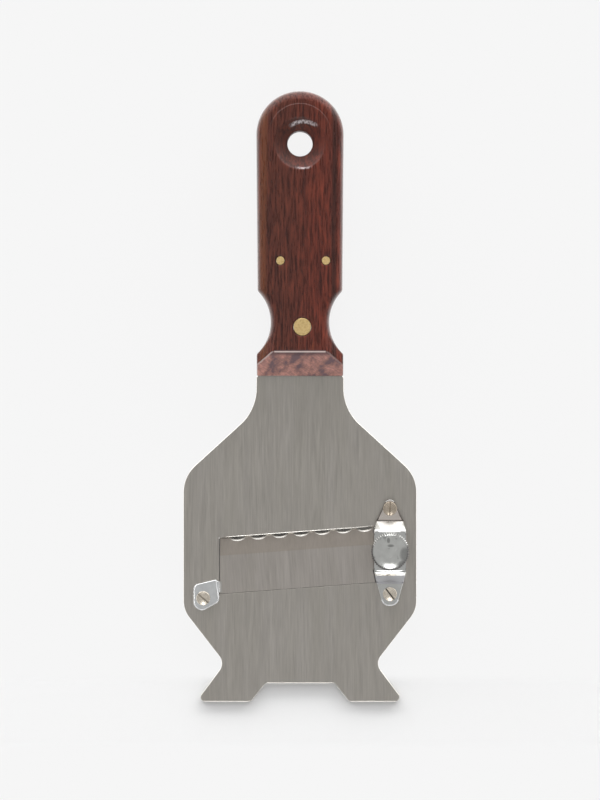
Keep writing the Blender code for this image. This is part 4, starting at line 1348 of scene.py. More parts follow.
@dataclass
class Blade:
    """The scalloped blade with its ground edge, the bend out of the slot, and the ear on the plate."""

    plate: Plate
    bridge: "Bridge"
    thickness: float = 0.0010
    grind_width: float = 0.0061
    edge_thickness: float = 0.00015
    scallop_pitch: float = 0.00745
    scallop_start: float = 0.00645
    scallop_chord: float = 0.0056
    scallop_depth: float = 0.0008
    scallop_slope: float = math.radians(60)
    steepest_wall: float = math.radians(75)
    least_lean: float = math.radians(2)
    grind_up: float = 0.95
    grind_ahead: float = 0.5
    grind_rounds: int = 6
    gap: float = 0.0003
    tongue_half_height: float = 0.0065
    tongue_radius: float = 0.0020
    screw_x: float = -0.0340
    screw_y: float = 0.0364
    screw_hole: float = 0.00155
    stem_hole: float = 0.0015
    ear_corners: tuple[Triple, ...] = (
        (-0.0008, -0.0048, 0.0026),
        (0.0058, -0.0012, 0.0022),
        (0.0048, 0.0067, 0.0006),
        (-0.0034, 0.0047, 0.0020),
        (-0.0034, -0.0027, 0.0028),
    )
    ear_seat_z: float = 0.00105
    ear_rounding: float = 0.00045
    ear_rim_up: float = 0.05
    ear_rim_ahead: float = 0.2
    bend_inset: float = 0.00005
    bend_start: float = 0.0003
    bend_reach: float = 0.0010
    bend_seat_radius: float = 0.0003
    bend_slot_radius: float = 0.0001
    bend_crest_radius: float = 0.0006
    bend_above_slot: float = 0.0002
    bend_below_corner: float = 0.0008
    bend_rounding: float = 0.00008
    bend_rim_angle: float = math.radians(70)
    low_gap: float = 0.00012
    edge_gap: float = 0.00012

    def back_z(self) -> float:
        """The height of the blade's back."""
        return self.plate.front_z() - self.thickness

    def edge_at_left(self) -> float:
        """The height of the cutting edge at the slot's left end."""
        return self.plate.slot_top() - self.edge_gap

    def edge_y(self, x: float) -> float:
        """The height of the cutting edge at x, between scallops."""
        return self.plate.slot_y(x, self.edge_at_left())

    def edge_start(self) -> Vector:
        """Where the cutting edge would meet the slot's left end."""
        return Vector((self.plate.slot_left, self.edge_y(self.plate.slot_left), 0.0))

    def upward(self) -> Vector:
        """The direction across the blade, towards its edge."""
        return Vector((-math.sin(self.plate.slot_climb), math.cos(self.plate.slot_climb), 0.0))

    def scallop_radius(self) -> float:
        """The radius of a scallop on the blade's back."""
        return (self.scallop_chord ** 2 / 4 + self.scallop_depth ** 2) / (2 * self.scallop_depth)

    def shoulder(self, y_at_left: float) -> Corner:
        """Where a long edge of the blade ends, just short of the bridge's side.

        Args:
            y_at_left: the edge's height at the slot's left end.

        Returns:
            The corner.
        """
        near_y = self.plate.slot_y(self.bridge.x - self.bridge.half_width, y_at_left)
        x = self.bridge.x - self.bridge.width_at(abs(near_y - self.bridge.y)) - self.gap
        return Corner(x, self.plate.slot_y(x, y_at_left))

    def scallop_centres(self) -> list[Vector]:
        """Find the centres of the scallops' arcs.

        Returns:
            The centres from left to right.
        """
        first_x = self.plate.slot_left + self.scallop_start
        last_x = self.shoulder(self.edge_at_left()).x
        centres = []
        for index in range(math.ceil((last_x - first_x) / self.scallop_pitch)):
            x = first_x + index * self.scallop_pitch
            edge = Vector((x, self.edge_y(x), 0.0))
            centres.append(edge + self.upward() * (self.scallop_radius() - self.scallop_depth))
        return centres

    def scalloped_edge(self) -> list[Stroke]:
        """Draw the scallops from right to left, the first one cut off by the blade's shoulder.

        Returns:
            The scallops as strokes of the blade's outline.
        """
        radius = self.scallop_radius()
        down = self.plate.slot_climb - math.pi / 2
        half_sweep = math.asin(self.scallop_chord / 2 / radius)
        shoulder = self.shoulder(self.edge_at_left())
        strokes: list[Stroke] = []
        for centre in reversed(self.scallop_centres()):
            middle = (centre.x, centre.y)
            bow = Bow(middle, radius, down + half_sweep, -2 * half_sweep)
            if bow.start().x > shoulder.x:
                reach = math.acos((shoulder.x - centre.x) / radius)
                bow = Bow(middle, radius, -reach, down - half_sweep + reach)
            elif not strokes:
                strokes.append(shoulder)
            strokes.append(bow)
        return strokes

    def outline(self) -> list[Stroke]:
        """Draw the blade's outline on its back, with the tongue under the bridge.

        Returns:
            The outline.
        """
        left = self.plate.slot_left + self.gap
        bottom_y = self.plate.slot_bottom + self.low_gap
        right = self.plate.slot_right - self.gap
        tongue_left = self.bridge.x - self.bridge.half_width - self.gap
        tongue_low = self.bridge.y - self.tongue_half_height
        tongue_high = self.bridge.y + self.tongue_half_height
        return [
            Corner(left, bottom_y),
            self.shoulder(bottom_y),
            Corner(tongue_left, tongue_low),
            Corner(right, tongue_low, self.tongue_radius),
            Corner(right, tongue_high, self.tongue_radius),
            Corner(tongue_left, tongue_high),
            *self.scalloped_edge(),
            Corner(left, self.edge_y(left)),
        ]

    def grind_z(self, point: Vector) -> float:
        """The height of the blade's front, lower towards the edge.

        Args:
            point: a point of the blade.

        Returns:
            The height there.
        """
        inward = (self.edge_start() - point).dot(self.upward())
        share = min(max(inward / self.grind_width, 0.0), 1.0)
        return self.back_z() + self.edge_thickness + share * (self.thickness - self.edge_thickness)

    def widen_scallops(self, top: Sequence[Vert]) -> None:
        """Move the front rim of each scallop out, so that its wall leans back.

        Args:
            top: the points of the blade's front.
        """
        growth = math.tan(self.scallop_slope)
        radius = self.scallop_radius()
        for vert in top:
            flat = Vector((vert.co.x, vert.co.y, 0.0))
            for centre in self.scallop_centres():
                spoke = flat - centre
                if abs(spoke.length - radius) >= WELD * 10 or spoke.dot(self.upward()) >= 0:
                    continue
                for _ in range(self.grind_rounds):
                    height = self.grind_z(flat) - self.back_z()
                    flat = centre + spoke.normalized() * (radius + growth * height)
                vert.co.x, vert.co.y = flat.x, flat.y
                break

    def sheet(self, bench: Workpiece) -> None:
        """The flat of the blade with its grind and scallops.

        Args:
            bench: the workpiece that it is built on.
        """
        bench.outline(self.outline())
        bench.outline(ring(self.bridge.x, self.bridge.y, self.stem_hole))
        bench.fill()
        bench.slice_at(self.edge_start() - self.upward() * self.grind_width, self.upward())
        top = bench.thicken(self.back_z(), self.plate.front_z())
        self.widen_scallops(top)
        for vert in top:
            vert.co.z = self.grind_z(Vector((vert.co.x, vert.co.y, 0.0)))

    def ear(self) -> Piece:
        """Cut out the ear, a shield round its screw, with a painted highlight on its rim where it faces the
        feet.

        Returns:
            The ear.
        """
        shield = Workpiece()
        corners = [Corner(self.screw_x + x, self.screw_y + y, radius) for x, y, radius in self.ear_corners]
        hole = ring(self.screw_x, self.screw_y, self.screw_hole)
        shield.cut([corners, hole], self.ear_seat_z, self.ear_seat_z + self.thickness)
        shield.ease(shield.rims(), self.ear_rounding)
        shield.shade_flats()
        for face in shield.mesh.faces:
            # The rim's faces towards the feet take the painted highlight
            lowered = self.ear_rim_up < face.normal.z < LEVEL and face.normal.y < self.ear_rim_ahead
            face.material_index = (BladeFace.EAR_RIM if lowered else BladeFace.EAR).value
        return shield.solid("ear")

    def build(self) -> Piece:
        """Build the blade, its bend and its ear as one piece.

        Returns:
            The blade.
        """
        flat = Workpiece()
        self.sheet(flat)
        flat.shade_flats()
        for face in flat.mesh.faces:
            face.smooth = False
            face.material_index = self.finish_of(face).value
        joined = Workpiece()
        for part in (flat.solid("scalloped_blade"), self.ear(), self.bend()):
            joined.mesh.from_mesh(part.data)
            bpy.data.objects.remove(part)
        return joined.solid("scalloped_blade")

    def finish_of(self, face: Face) -> BladeFace:
        """Which finish a face of the flat blade has.

        Args:
            face: the face.

        Returns:
            The finish of the grind, of a scallop's wall or of the flat.
        """
        if not math.cos(self.steepest_wall) < face.normal.z < math.cos(self.least_lean):
            return BladeFace.FLAT
        ahead = (face.normal.xy.normalized() - self.upward().xy).length < self.grind_ahead
        return BladeFace.GRIND if ahead and face.normal.z > self.grind_up else BladeFace.SCALLOP

    def bend(self) -> Piece:
        """Fold the bend that steps from the ear down into the slot.

        Returns:
            The bend.
        """
        inset = self.bend_inset
        plate_front = self.plate.front_z()
        ear_top = self.ear_seat_z + self.thickness
        corner_x, corner_y, _ = self.ear_corners[2]
        in_ear_x = self.screw_x + corner_x - self.thickness / 2
        blade_left = self.plate.slot_left + self.gap + inset
        slope_start = Vector((self.plate.slot_left - self.bend_start, ear_top - inset))
        slope_end = Vector((self.plate.slot_left + self.bend_reach, plate_front))
        sunk = slope_end + (slope_end - slope_start) * self.thickness / 4 / (slope_start.y - slope_end.y)
        side = [
            Corner(in_ear_x, self.ear_seat_z + inset),
            Corner(self.plate.slot_left - inset, self.ear_seat_z + inset, self.bend_seat_radius),
            Corner(blade_left, plate_front - inset, self.bend_slot_radius),
            Corner(blade_left, plate_front - self.thickness / 4),
            Corner(sunk.x, sunk.y),
            Corner(slope_start.x, slope_start.y, self.bend_crest_radius),
            Corner(in_ear_x, ear_top - inset),
        ]
        bottom = self.plate.slot_y(sunk.x, self.plate.slot_bottom + self.gap) + self.bend_above_slot
        top = self.screw_y + corner_y - self.bend_below_corner
        strip = Workpiece()
        strip.cut([side], -top, -bottom)
        strip.turn(math.pi / 2, "X")
        strip.ease(strip.rims(self.bend_rim_angle), self.bend_rounding, 2)
        for face in strip.mesh.faces:
            face.material_index = BladeFace.EAR.value
            face.smooth = True
        return strip.solid("bend")

    def dress(self, piece: Piece, finishes: dict[BladeFace, Material]) -> None:
        """Give the blade its satin flat, darker grind, bright scallops, polished ear and the painted
        highlight on the ear's rim.
        """
        mount(piece, [finishes[stretch] for stretch in BladeFace], Body.BLADE, "blade")


# Bridge


class StrapFace(Enum):
    """The stretches of the bridge, each with its own copy of the steel: painted highlights on the upper slope
    and the lower rims, painted shade on the lower slope and the side rims, and a warmer upper foot.
    """

    POLISHED = 0
    UPPER_SLOPE = 1
    LOWER_SLOPE = 2
    UPPER_FOOT = 3
    DARK_RIM = 4
    BRIGHT_RIM = 5


@dataclass
class Bridge:
    """The polished strap over the blade's free end, bent up and down again, with rounded ends."""

    x: float = 0.0316
    y: float = 0.0528961
    thickness: float = 0.0015
    seat_z: float = 0.00105
    underside_z: float = 0.00525
    screw_half_spacing: float = 0.0150
    upper_end: float = 0.0032
    lower_end: float = 0.0042
    upper_end_half_width: float = 0.0013
    lower_end_half_width: float = 0.0025
    upper_end_radius: float = 0.0019
    lower_end_radius: float = 0.0029
    half_width: float = 0.0058
    middle_half_length: float = 0.0065
    bend_half_width: float = 0.0048
    bend_half_length: float = 0.01075
    top_half_length: float = 0.0073
    bend_radius: float = 0.0006
    inner_radius: float = 0.00050
    thread_hole: float = 0.00208
    screw_hole: float = 0.00135
    edge_rounding: float = 0.00042
    station: float = 0.00012
    crest_room: float = 4.0
    foot_room: float = 2.0
    rim_out: float = 0.3
    rim_up: float = 0.95

    def top_z(self) -> float:
        """The height of the raised part's top."""
        return self.underside_z + self.thickness

    def width_at(self, distance: float) -> float:
        """Half the bridge's width along its straight sides.

        Args:
            distance: the distance from its middle.

        Returns:
            Half the width there.
        """
        run = self.bend_half_length - self.middle_half_length
        share = min(max((distance - self.middle_half_length) / run, 0.0), 1.0)
        return self.half_width + share * (self.bend_half_width - self.half_width)

    def outline(self) -> list[Stroke]:
        """Draw the bridge as it is seen from above, about its own middle.

        Returns:
            The outline.
        """
        low = -self.screw_half_spacing - self.lower_end
        high = self.screw_half_spacing + self.upper_end
        return with_mirror([
            Corner(self.lower_end_half_width, low, self.lower_end_radius),
            Corner(self.bend_half_width, -self.bend_half_length),
            Corner(self.half_width, -self.middle_half_length),
            Corner(self.half_width, self.middle_half_length),
            Corner(self.bend_half_width, self.bend_half_length),
            Corner(self.upper_end_half_width, high, self.upper_end_radius),
        ])

    def slope(self) -> float:
        """The angle at which the strap climbs."""
        rise = self.underside_z - self.seat_z
        return math.atan2(rise, self.bend_half_length - self.top_half_length)

    def height(self, distance: float, crest: float, foot: float, high: float, low: float,
               crest_radius: float, foot_radius: float) -> float:
        """The height of one side of the strap at a distance from the middle.

        Args:
            distance: the distance from the bridge's middle along it.
            crest: where the slope would meet the raised part without rounding.
            foot: where the slope would meet the foot without rounding.
            high: the height of the raised part.
            low: the height of the foot.
            crest_radius: the radius of the bend at the crest.
            foot_radius: the radius of the bend at the foot.

        Returns:
            The height.
        """
        slope = self.slope()
        crest_reach = crest_radius * math.tan(slope / 2)
        foot_reach = foot_radius * math.tan(slope / 2)
        if distance <= crest - crest_reach:
            return high
        if distance <= crest + crest_reach * math.cos(slope):
            into = distance - (crest - crest_reach)
            return high - crest_radius + math.sqrt(crest_radius ** 2 - into ** 2)
        if distance >= foot + foot_reach:
            return low
        if distance >= foot - foot_reach * math.cos(slope):
            into = foot + foot_reach - distance
            return low + foot_radius - math.sqrt(foot_radius ** 2 - into ** 2)
        return high - (distance - crest) * math.tan(slope)

    def stations(self) -> list[float]:
        """Find the distances from the middle at which the blank is lined for bending.

        Returns:
            The distances.
        """
        lines = []
        distance = self.top_half_length - self.crest_room * self.bend_radius
        while distance < self.bend_half_length + self.foot_room * self.bend_radius:
            lines.append(distance)
            distance += self.station
        return lines

    def build(self) -> Piece:
        """Cut the blank, bend it and polish its edges round.

        Returns:
            The bridge.
        """
        strap = Workpiece()
        strap.outline(self.outline())
        strap.outline(ring(0.0, 0.0, self.thread_hole))
        for end in (1, -1):
            strap.outline(ring(0.0, end * self.screw_half_spacing, self.screw_hole))
        strap.fill()
        for distance in self.stations():
            for end in (1, -1):
                strap.slice_at((0.0, end * distance, 0.0), (0.0, 1.0, 0.0))
        top = set(strap.thicken(0.0, self.thickness))
        rims = strap.rims()
        bend_shift = self.thickness * math.tan(self.slope() / 2)
        outer = self.bend_radius + self.thickness
        for vert in strap.mesh.verts:
            distance = abs(vert.co.y)
            if vert in top:
                vert.co.z = self.height(distance, self.top_half_length, self.bend_half_length, self.top_z(),
                                        self.seat_z + self.thickness, outer, self.inner_radius)
            else:
                vert.co.z = self.height(distance, self.top_half_length - bend_shift,
                                        self.bend_half_length - bend_shift, self.underside_z, self.seat_z,
                                        self.bend_radius, outer)
        strap.ease(rims, self.edge_rounding)
        strap.shade_flats()
        for face in strap.mesh.faces:
            face.material_index = self.finish_of(face).value
        strap.shift(self.x, self.y)
        return strap.solid("bridge_strap")

    def finish_of(self, face: Face) -> StrapFace:
        """Which stretch of the strap a face belongs to.

        Args:
            face: the face, about the bridge's own middle.

        Returns:
            The stretch.
        """
        place, normal = face.calc_center_median(), face.normal
        level = abs(normal.x) < math.sin(FLAT_ANGLE)
        leaning = abs(math.atan2(normal.y, normal.z) - self.slope()) < self.slope() / 3
        # The rims of the upper foot get painted shade
        if place.y > self.bend_half_length - self.bend_radius and not leaning:
            return StrapFace.UPPER_FOOT if normal.z > LEVEL else StrapFace.DARK_RIM
        # The upper slope, facing the light, gets a painted highlight
        if leaning and level:
            return StrapFace.UPPER_SLOPE
        # The raised part's sides get painted shade too
        sideways = abs(normal.x) > self.rim_out and 0.0 < normal.z < self.rim_up
        if abs(place.y) < self.top_half_length and sideways:
            return StrapFace.DARK_RIM
        # The lower slope, facing away from the light, gets painted shade
        if -self.bend_half_length - self.bend_radius < place.y < -self.top_half_length - 2 * self.bend_radius:
            return StrapFace.LOWER_SLOPE
        # The lower foot's outer rims get a painted highlight
        outer = place.y < -self.screw_half_spacing and 0.0 < normal.z < LEVEL
        return StrapFace.BRIGHT_RIM if outer else StrapFace.POLISHED

    def dress(self, piece: Piece, finishes: dict[StrapFace, Material]) -> None:
        """Polish the bridge, with painted highlights and painted shade on the stretches that face towards or
        away from the light.
        """
        mount(piece, [finishes[stretch] for stretch in StrapFace], Body.SLICER, "bridge")


# Screws and nuts


@dataclass
class SlottedScrew:
    """A cheese-headed screw with a crowned, slotted head, through the plate into its nut."""

    node: str
    name: str
    x: float
    y: float
    seat_z: float
    slot_turn: float
    slot_shade: float
    shank_radius: float = 0.00125
    head_radius: float = 0.00245
    rim: float = 0.0008
    crown: float = 0.0007
    crown_steps: int = 12
    dome: float = 0.00030
    shoulder: float = 0.00022
    slot_width: float = 0.0005
    seat_gap: float = 0.0003
    end_z: float = -0.00295
    rounding: float = 0.00009
    crown_up: float = 0.3

    def floor_z(self) -> float:
        """The height of the slot's floor."""
        return self.seat_z + self.seat_gap + self.rim

    def profile(self) -> list[Point]:
        """Draw the screw's half section, from the middle of its crown to the end of its shank.

        Returns:
            The section's points.
        """
        top_z = self.floor_z() + self.crown
        shoulder = self.head_radius - self.shoulder
        shares = [step / self.crown_steps for step in range(self.crown_steps + 1)]
        points = [(shoulder * share, top_z - self.dome * share ** 2) for share in shares]
        for step in range(1, self.crown_steps // 2 + 1):
            angle = math.pi * step / self.crown_steps
            drop = (self.crown - self.dome) * (1 - math.cos(angle))
            points.append((shoulder + self.shoulder * math.sin(angle), top_z - self.dome - drop))
        under_head = self.seat_z + self.seat_gap
        ease = self.rounding
        return [*points, (self.head_radius, under_head + ease), (self.head_radius - ease, under_head),
                (self.shank_radius, under_head), (self.shank_radius, self.end_z + ease),
                (self.shank_radius - ease, self.end_z), (0.0, self.end_z)]

    def cut_slot(self, screw: Workpiece) -> None:
        """Sink the slot into the crown.

        Args:
            screw: the turned screw.
        """
        half = self.slot_width / 2
        for side in (half, -half):
            screw.slice_at((0.0, side, 0.0), (0.0, 1.0, 0.0))
        floor_z = self.floor_z()
        strip = []
        for face in screw.mesh.faces:
            middle = face.calc_center_median()
            if abs(middle.y) < half and middle.z > floor_z + WELD and face.normal.z > self.crown_up:
                strip.append(face)
        sunk = bmesh.ops.extrude_face_region(screw.mesh, geom=strip)
        bmesh.ops.delete(screw.mesh, geom=strip, context="FACES")
        for part in sunk["geom"]:
            if isinstance(part, Vert):
                part.co.z = floor_z
                for face in part.link_faces:
                    # The slot's faces take the painted shade
                    face.material_index = 1
        screw.mend()

    def build(self) -> Piece:
        """Turn the screw, cut its slot and set it at its angle.

        Returns:
            The screw.
        """
        screw = Workpiece()
        screw.turned(self.profile())
        self.cut_slot(screw)
        for face in screw.mesh.faces:
            face.smooth = True
        screw.turn(self.slot_turn, "Z")
        screw.shift(self.x, self.y)
        return screw.solid(self.name)

    def dress(self, piece: Piece, colour: Colour) -> None:
        """Face the head on the lathe, with painted shade in the slot.

        Args:
            piece: the screw.
            colour: the colour of its plating.
        """
        centre = (self.x, self.y + FEET_Y)
        metal = TurnedMetal(self.name + "_nickel", colour, centre)
        # Painted shade: the slot's walls and floor take a darker, duller copy of the plating
        slot_shadow = TurnedMetal(self.name + "_slot", shade(colour, self.slot_shade), centre, 0.5)
        mount(piece, [metal.material(), slot_shadow.material()], Body.SLICER, self.node)


@dataclass
class Nut:
    """A small hexagon nut behind the plate, with its corners chamfered."""

    node: str
    name: str
    x: float
    y: float
    across_flats: float = 0.0050
    thickness: float = 0.0016
    top_z: float = -0.00105
    bore: float = 0.00135
    rounding: float = 0.00015

    def build(self) -> Piece:
        """Forge the nut.

        Returns:
            The nut.
        """
        circle = Bow((0.0, 0.0), self.across_flats / 2 / math.cos(math.pi / 6), 0.0, math.tau)
        points = [circle.at(step * math.pi / 3) for step in range(6)]
        outlines = [[Corner(point.x, point.y, self.rounding) for point in points], ring(0.0, 0.0, self.bore)]
        low = self.top_z - self.thickness
        return stamped(self.name, outlines, low, self.top_z, self.rounding, (self.x, self.y))

    def dress(self, piece: Piece, colour: Colour) -> None:
        """Plate the nut."""
        metal = TurnedMetal(self.name + "_nickel", colour, (self.x, self.y + FEET_Y))
        mount(piece, [metal.material()], Body.SLICER, self.node)


# Thumb screw


@dataclass
class ThumbScrew:
    """The knurled thumb screw with its thrust washer and the snap ring on its tip."""

    x: float
    y: float
    knob_radius: float = 0.0068
    under_knob_z: float = 0.00705
    knob_thickness: float = 0.0030
    chamfer: float = 0.0005
    front_chamfer: float = 0.00030
    front_drop: float = 0.00030
    dome: float = 0.00070
    dome_steps: int = 10
    flat_radius: float = 0.0022
    knurls: int = 50
    knurl_depth: float = 0.0004
    thread_radius: float = 0.0020
    shoulder_z: float = 0.00185
    journal_radius: float = 0.0012
    groove_depth: float = 0.00025
    groove_top_z: float = -0.00045
    groove_bottom_z: float = -0.00105
    end_z: float = -0.00165
    tip_chamfer: float = 0.0003
    washer_radius: float = 0.0034
    washer_thickness: float = 0.0005
    washer_z: float = 0.00105
    washer_play: float = 0.0001
    ring_radius: float = 0.0025
    ring_inner: float = 0.00105
    ring_thickness: float = 0.0004
    ring_mouth: float = 0.0016
    ring_top_z: float = -0.00055
    stamping_rounding: float = 0.00008
    tooth_roundness: float = 0.8
    groove_share: float = 0.25
    wall_up: float = 0.9
    lit_height: float = 0.34
    # Painted dark reflections on the knob's front
    dark_reflections: tuple[Spot, ...] = (
        (-0.0006, 0.0040, 0.0007, 0.0012),
        (0.0002, 0.0021, 0.0014, 0.0006),
        (0.0044, -0.0046, 0.0020, 0.0018),
        (0.0052, -0.0010, 0.0022, 0.0032),
    )

    def levels(self) -> list[tuple[float, float, bool]]:
        """Find the knob's rings from its underside to its front.

        Returns:
            Each ring's height and radius, and whether it is toothed.
        """
        low = self.under_knob_z
        top = low + self.knob_thickness
        rings = [(low + self.chamfer, self.knob_radius, True)]
        rings.append((top - self.dome - self.front_drop, self.knob_radius, True))
        reach = self.knob_radius - self.front_chamfer - self.flat_radius
        for step in range(self.dome_steps, 0, -1):
            share = step / self.dome_steps
            toothed = step == self.dome_steps
            rings.append((top - self.dome * share ** 2, self.flat_radius + reach * share, toothed))
        rings.append((top, self.flat_radius, False))
        return rings

    def knob(self, bench: Workpiece) -> None:
        """The knurled knob: teeth that run out on two chamfers, and a front with a domed rim.

        Args:
            bench: the workpiece that it is built on.
        """
        bmesh.ops.create_circle(bench.mesh, cap_ends=True, segments=4 * self.knurls,
                                radius=self.knob_radius - self.chamfer,
                                matrix=Matrix.Translation((0.0, 0.0, self.under_knob_z)))
        cap = bench.mesh.faces[:][0]
        for number, (height, radius, toothed) in enumerate(self.levels()):
            grown = bmesh.ops.extrude_face_region(bench.mesh, geom=[cap])
            if number > 0:
                bmesh.ops.delete(bench.mesh, geom=[cap], context="FACES_ONLY")
            cap = next(part for part in grown["geom"] if isinstance(part, Face))
            for vert in cap.verts:
                angle = math.atan2(vert.co.y, vert.co.x)
                vert.co = (*self.rim_point(angle, radius, toothed), height)
        bmesh.ops.recalc_face_normals(bench.mesh, faces=bench.mesh.faces)
        # Painted shade: the knurls' grooves, and every wall on the lower side away from the light, take the
        # dark steel
        for face in bench.mesh.faces:
            place = face.calc_center_median()
            phase = (math.atan2(place.y, place.x) * self.knurls / math.tau) % 1.0
            shaded = abs(phase - 0.5) < self.groove_share or place.y < self.lit_height * self.knob_radius
            face.material_index = 1 if shaded and abs(face.normal.z) < self.wall_up else 0

    def rim_point(self, angle: float, radius: float, toothed: bool) -> Point:
        """A point of the knob at an angle: on a tooth, in a groove or on a plain ring.

        Args:
            angle: the angle.
            radius: the ring's radius.
            toothed: whether the ring is toothed.

        Returns:
            The point.
        """
        reach = radius
        if toothed:
            phase = (angle * self.knurls / math.tau) % 1.0
            reach -= self.knurl_depth * (1 - abs(2 * phase - 1)) ** self.tooth_roundness
        return (reach * math.cos(angle), reach * math.sin(angle))

    def shank_profile(self) -> list[Point]:
        """Draw the thread, the journal and the grooved tip as a half section.

        Returns:
            The section's points.
        """
        in_knob_z = self.under_knob_z + self.knob_thickness / 2
        journal = self.journal_radius
        waist = journal - self.groove_depth
        thread = [(0.0, in_knob_z), (self.thread_radius, in_knob_z), (self.thread_radius, self.shoulder_z)]
        groove = [(journal, self.groove_top_z), (waist, self.groove_top_z), (waist, self.groove_bottom_z),
                  (journal, self.groove_bottom_z)]
        tip = [(journal, self.end_z + self.tip_chamfer), (journal - self.tip_chamfer, self.end_z)]
        return [*thread, (journal, self.shoulder_z), *groove, *tip, (0.0, self.end_z)]

    def build_screw(self) -> Piece:
        """Knurl the knob and turn the shank.

        Returns:
            The thumb screw.
        """
        head = Workpiece()
        self.knob(head)
        shank = Workpiece()
        shank.turned(self.shank_profile())
        rod = shank.solid("shank")
        head.mesh.from_mesh(rod.data)
        bpy.data.objects.remove(rod)
        head.shade_flats()
        head.shift(self.x, self.y)
        return head.solid("knurled_thumb_screw")

    def build_washer(self) -> Piece:
        """Stamp the thrust washer.

        Returns:
            The washer.
        """
        circles = [ring(0.0, 0.0, self.washer_radius), ring(0.0, 0.0, self.journal_radius + self.washer_play)]
        return stamped("washer_on_blade", circles, self.washer_z, self.washer_z + self.washer_thickness,
                       self.stamping_rounding, (self.x, self.y))

    def build_ring(self) -> Piece:
        """Bend the snap ring.

        Returns:
            The ring.
        """
        outer = math.asin(self.ring_mouth / 2 / self.ring_radius)
        inner = math.asin(self.ring_mouth / 2 / self.ring_inner)
        strokes = [
            Bow((0.0, 0.0), self.ring_radius, outer, math.tau - 2 * outer),
            Bow((0.0, 0.0), self.ring_inner, math.tau - inner, 2 * inner - math.tau),
        ]
        return stamped("ring_on_tip", [strokes], self.ring_top_z - self.ring_thickness, self.ring_top_z,
                       self.stamping_rounding, (self.x, self.y))

    def dress(self, screw: Piece, washer: Piece, snap: Piece,
              knob_colour: Colour, nickel: Colour) -> None:
        """Face the knob, and plate the washer and the ring.

        Args:
            screw: the thumb screw.
            washer: the thrust washer.
            snap: the snap ring.
            knob_colour: the colour of the knob's steel.
            nickel: the colour of the plating.
        """
        y = self.y + FEET_Y
        dark_reflections = tuple((self.x + right, y + up, wide, high) for right, up, wide, high in self.dark_reflections)
        facing = PolishedSteel("polished_knob", knob_colour, 0.13, marks=0.55, dark_reflections=dark_reflections)
        plating = TurnedMetal("washer_nickel", nickel, (self.x, y))
        # Dark steel for the painted shade in the knurls and on the knob's lower side
        knurl_shade = PolishedSteel("knurl_painted_shade", (0.160, 0.155, 0.150), 0.30)
        mount(screw, [facing.material(), knurl_shade.material()], Body.TURN, "thumb_screw")
        mount(washer, [plating.material()], Body.LIFT, "thrust_washer")
        mount(snap, [plating.material()], Body.TURN, "snap_ring")


# The studio


@dataclass(frozen=True)
class Softbox:
    """A soft light in the room: how bright it is, where it hangs, and how much of it mirrors show."""

    radiance: float
    way: Point
    low: float
    high: float
    half_turn: float
    mirrored: float = 1.0
    soft: float = 0.07


@dataclass(frozen=True)
class Lamp:
    """A small lamp far off: its strength, how far it leans from straight above, and how wide it looks."""

    name: str
    strength: float
    lean: float
    width: float


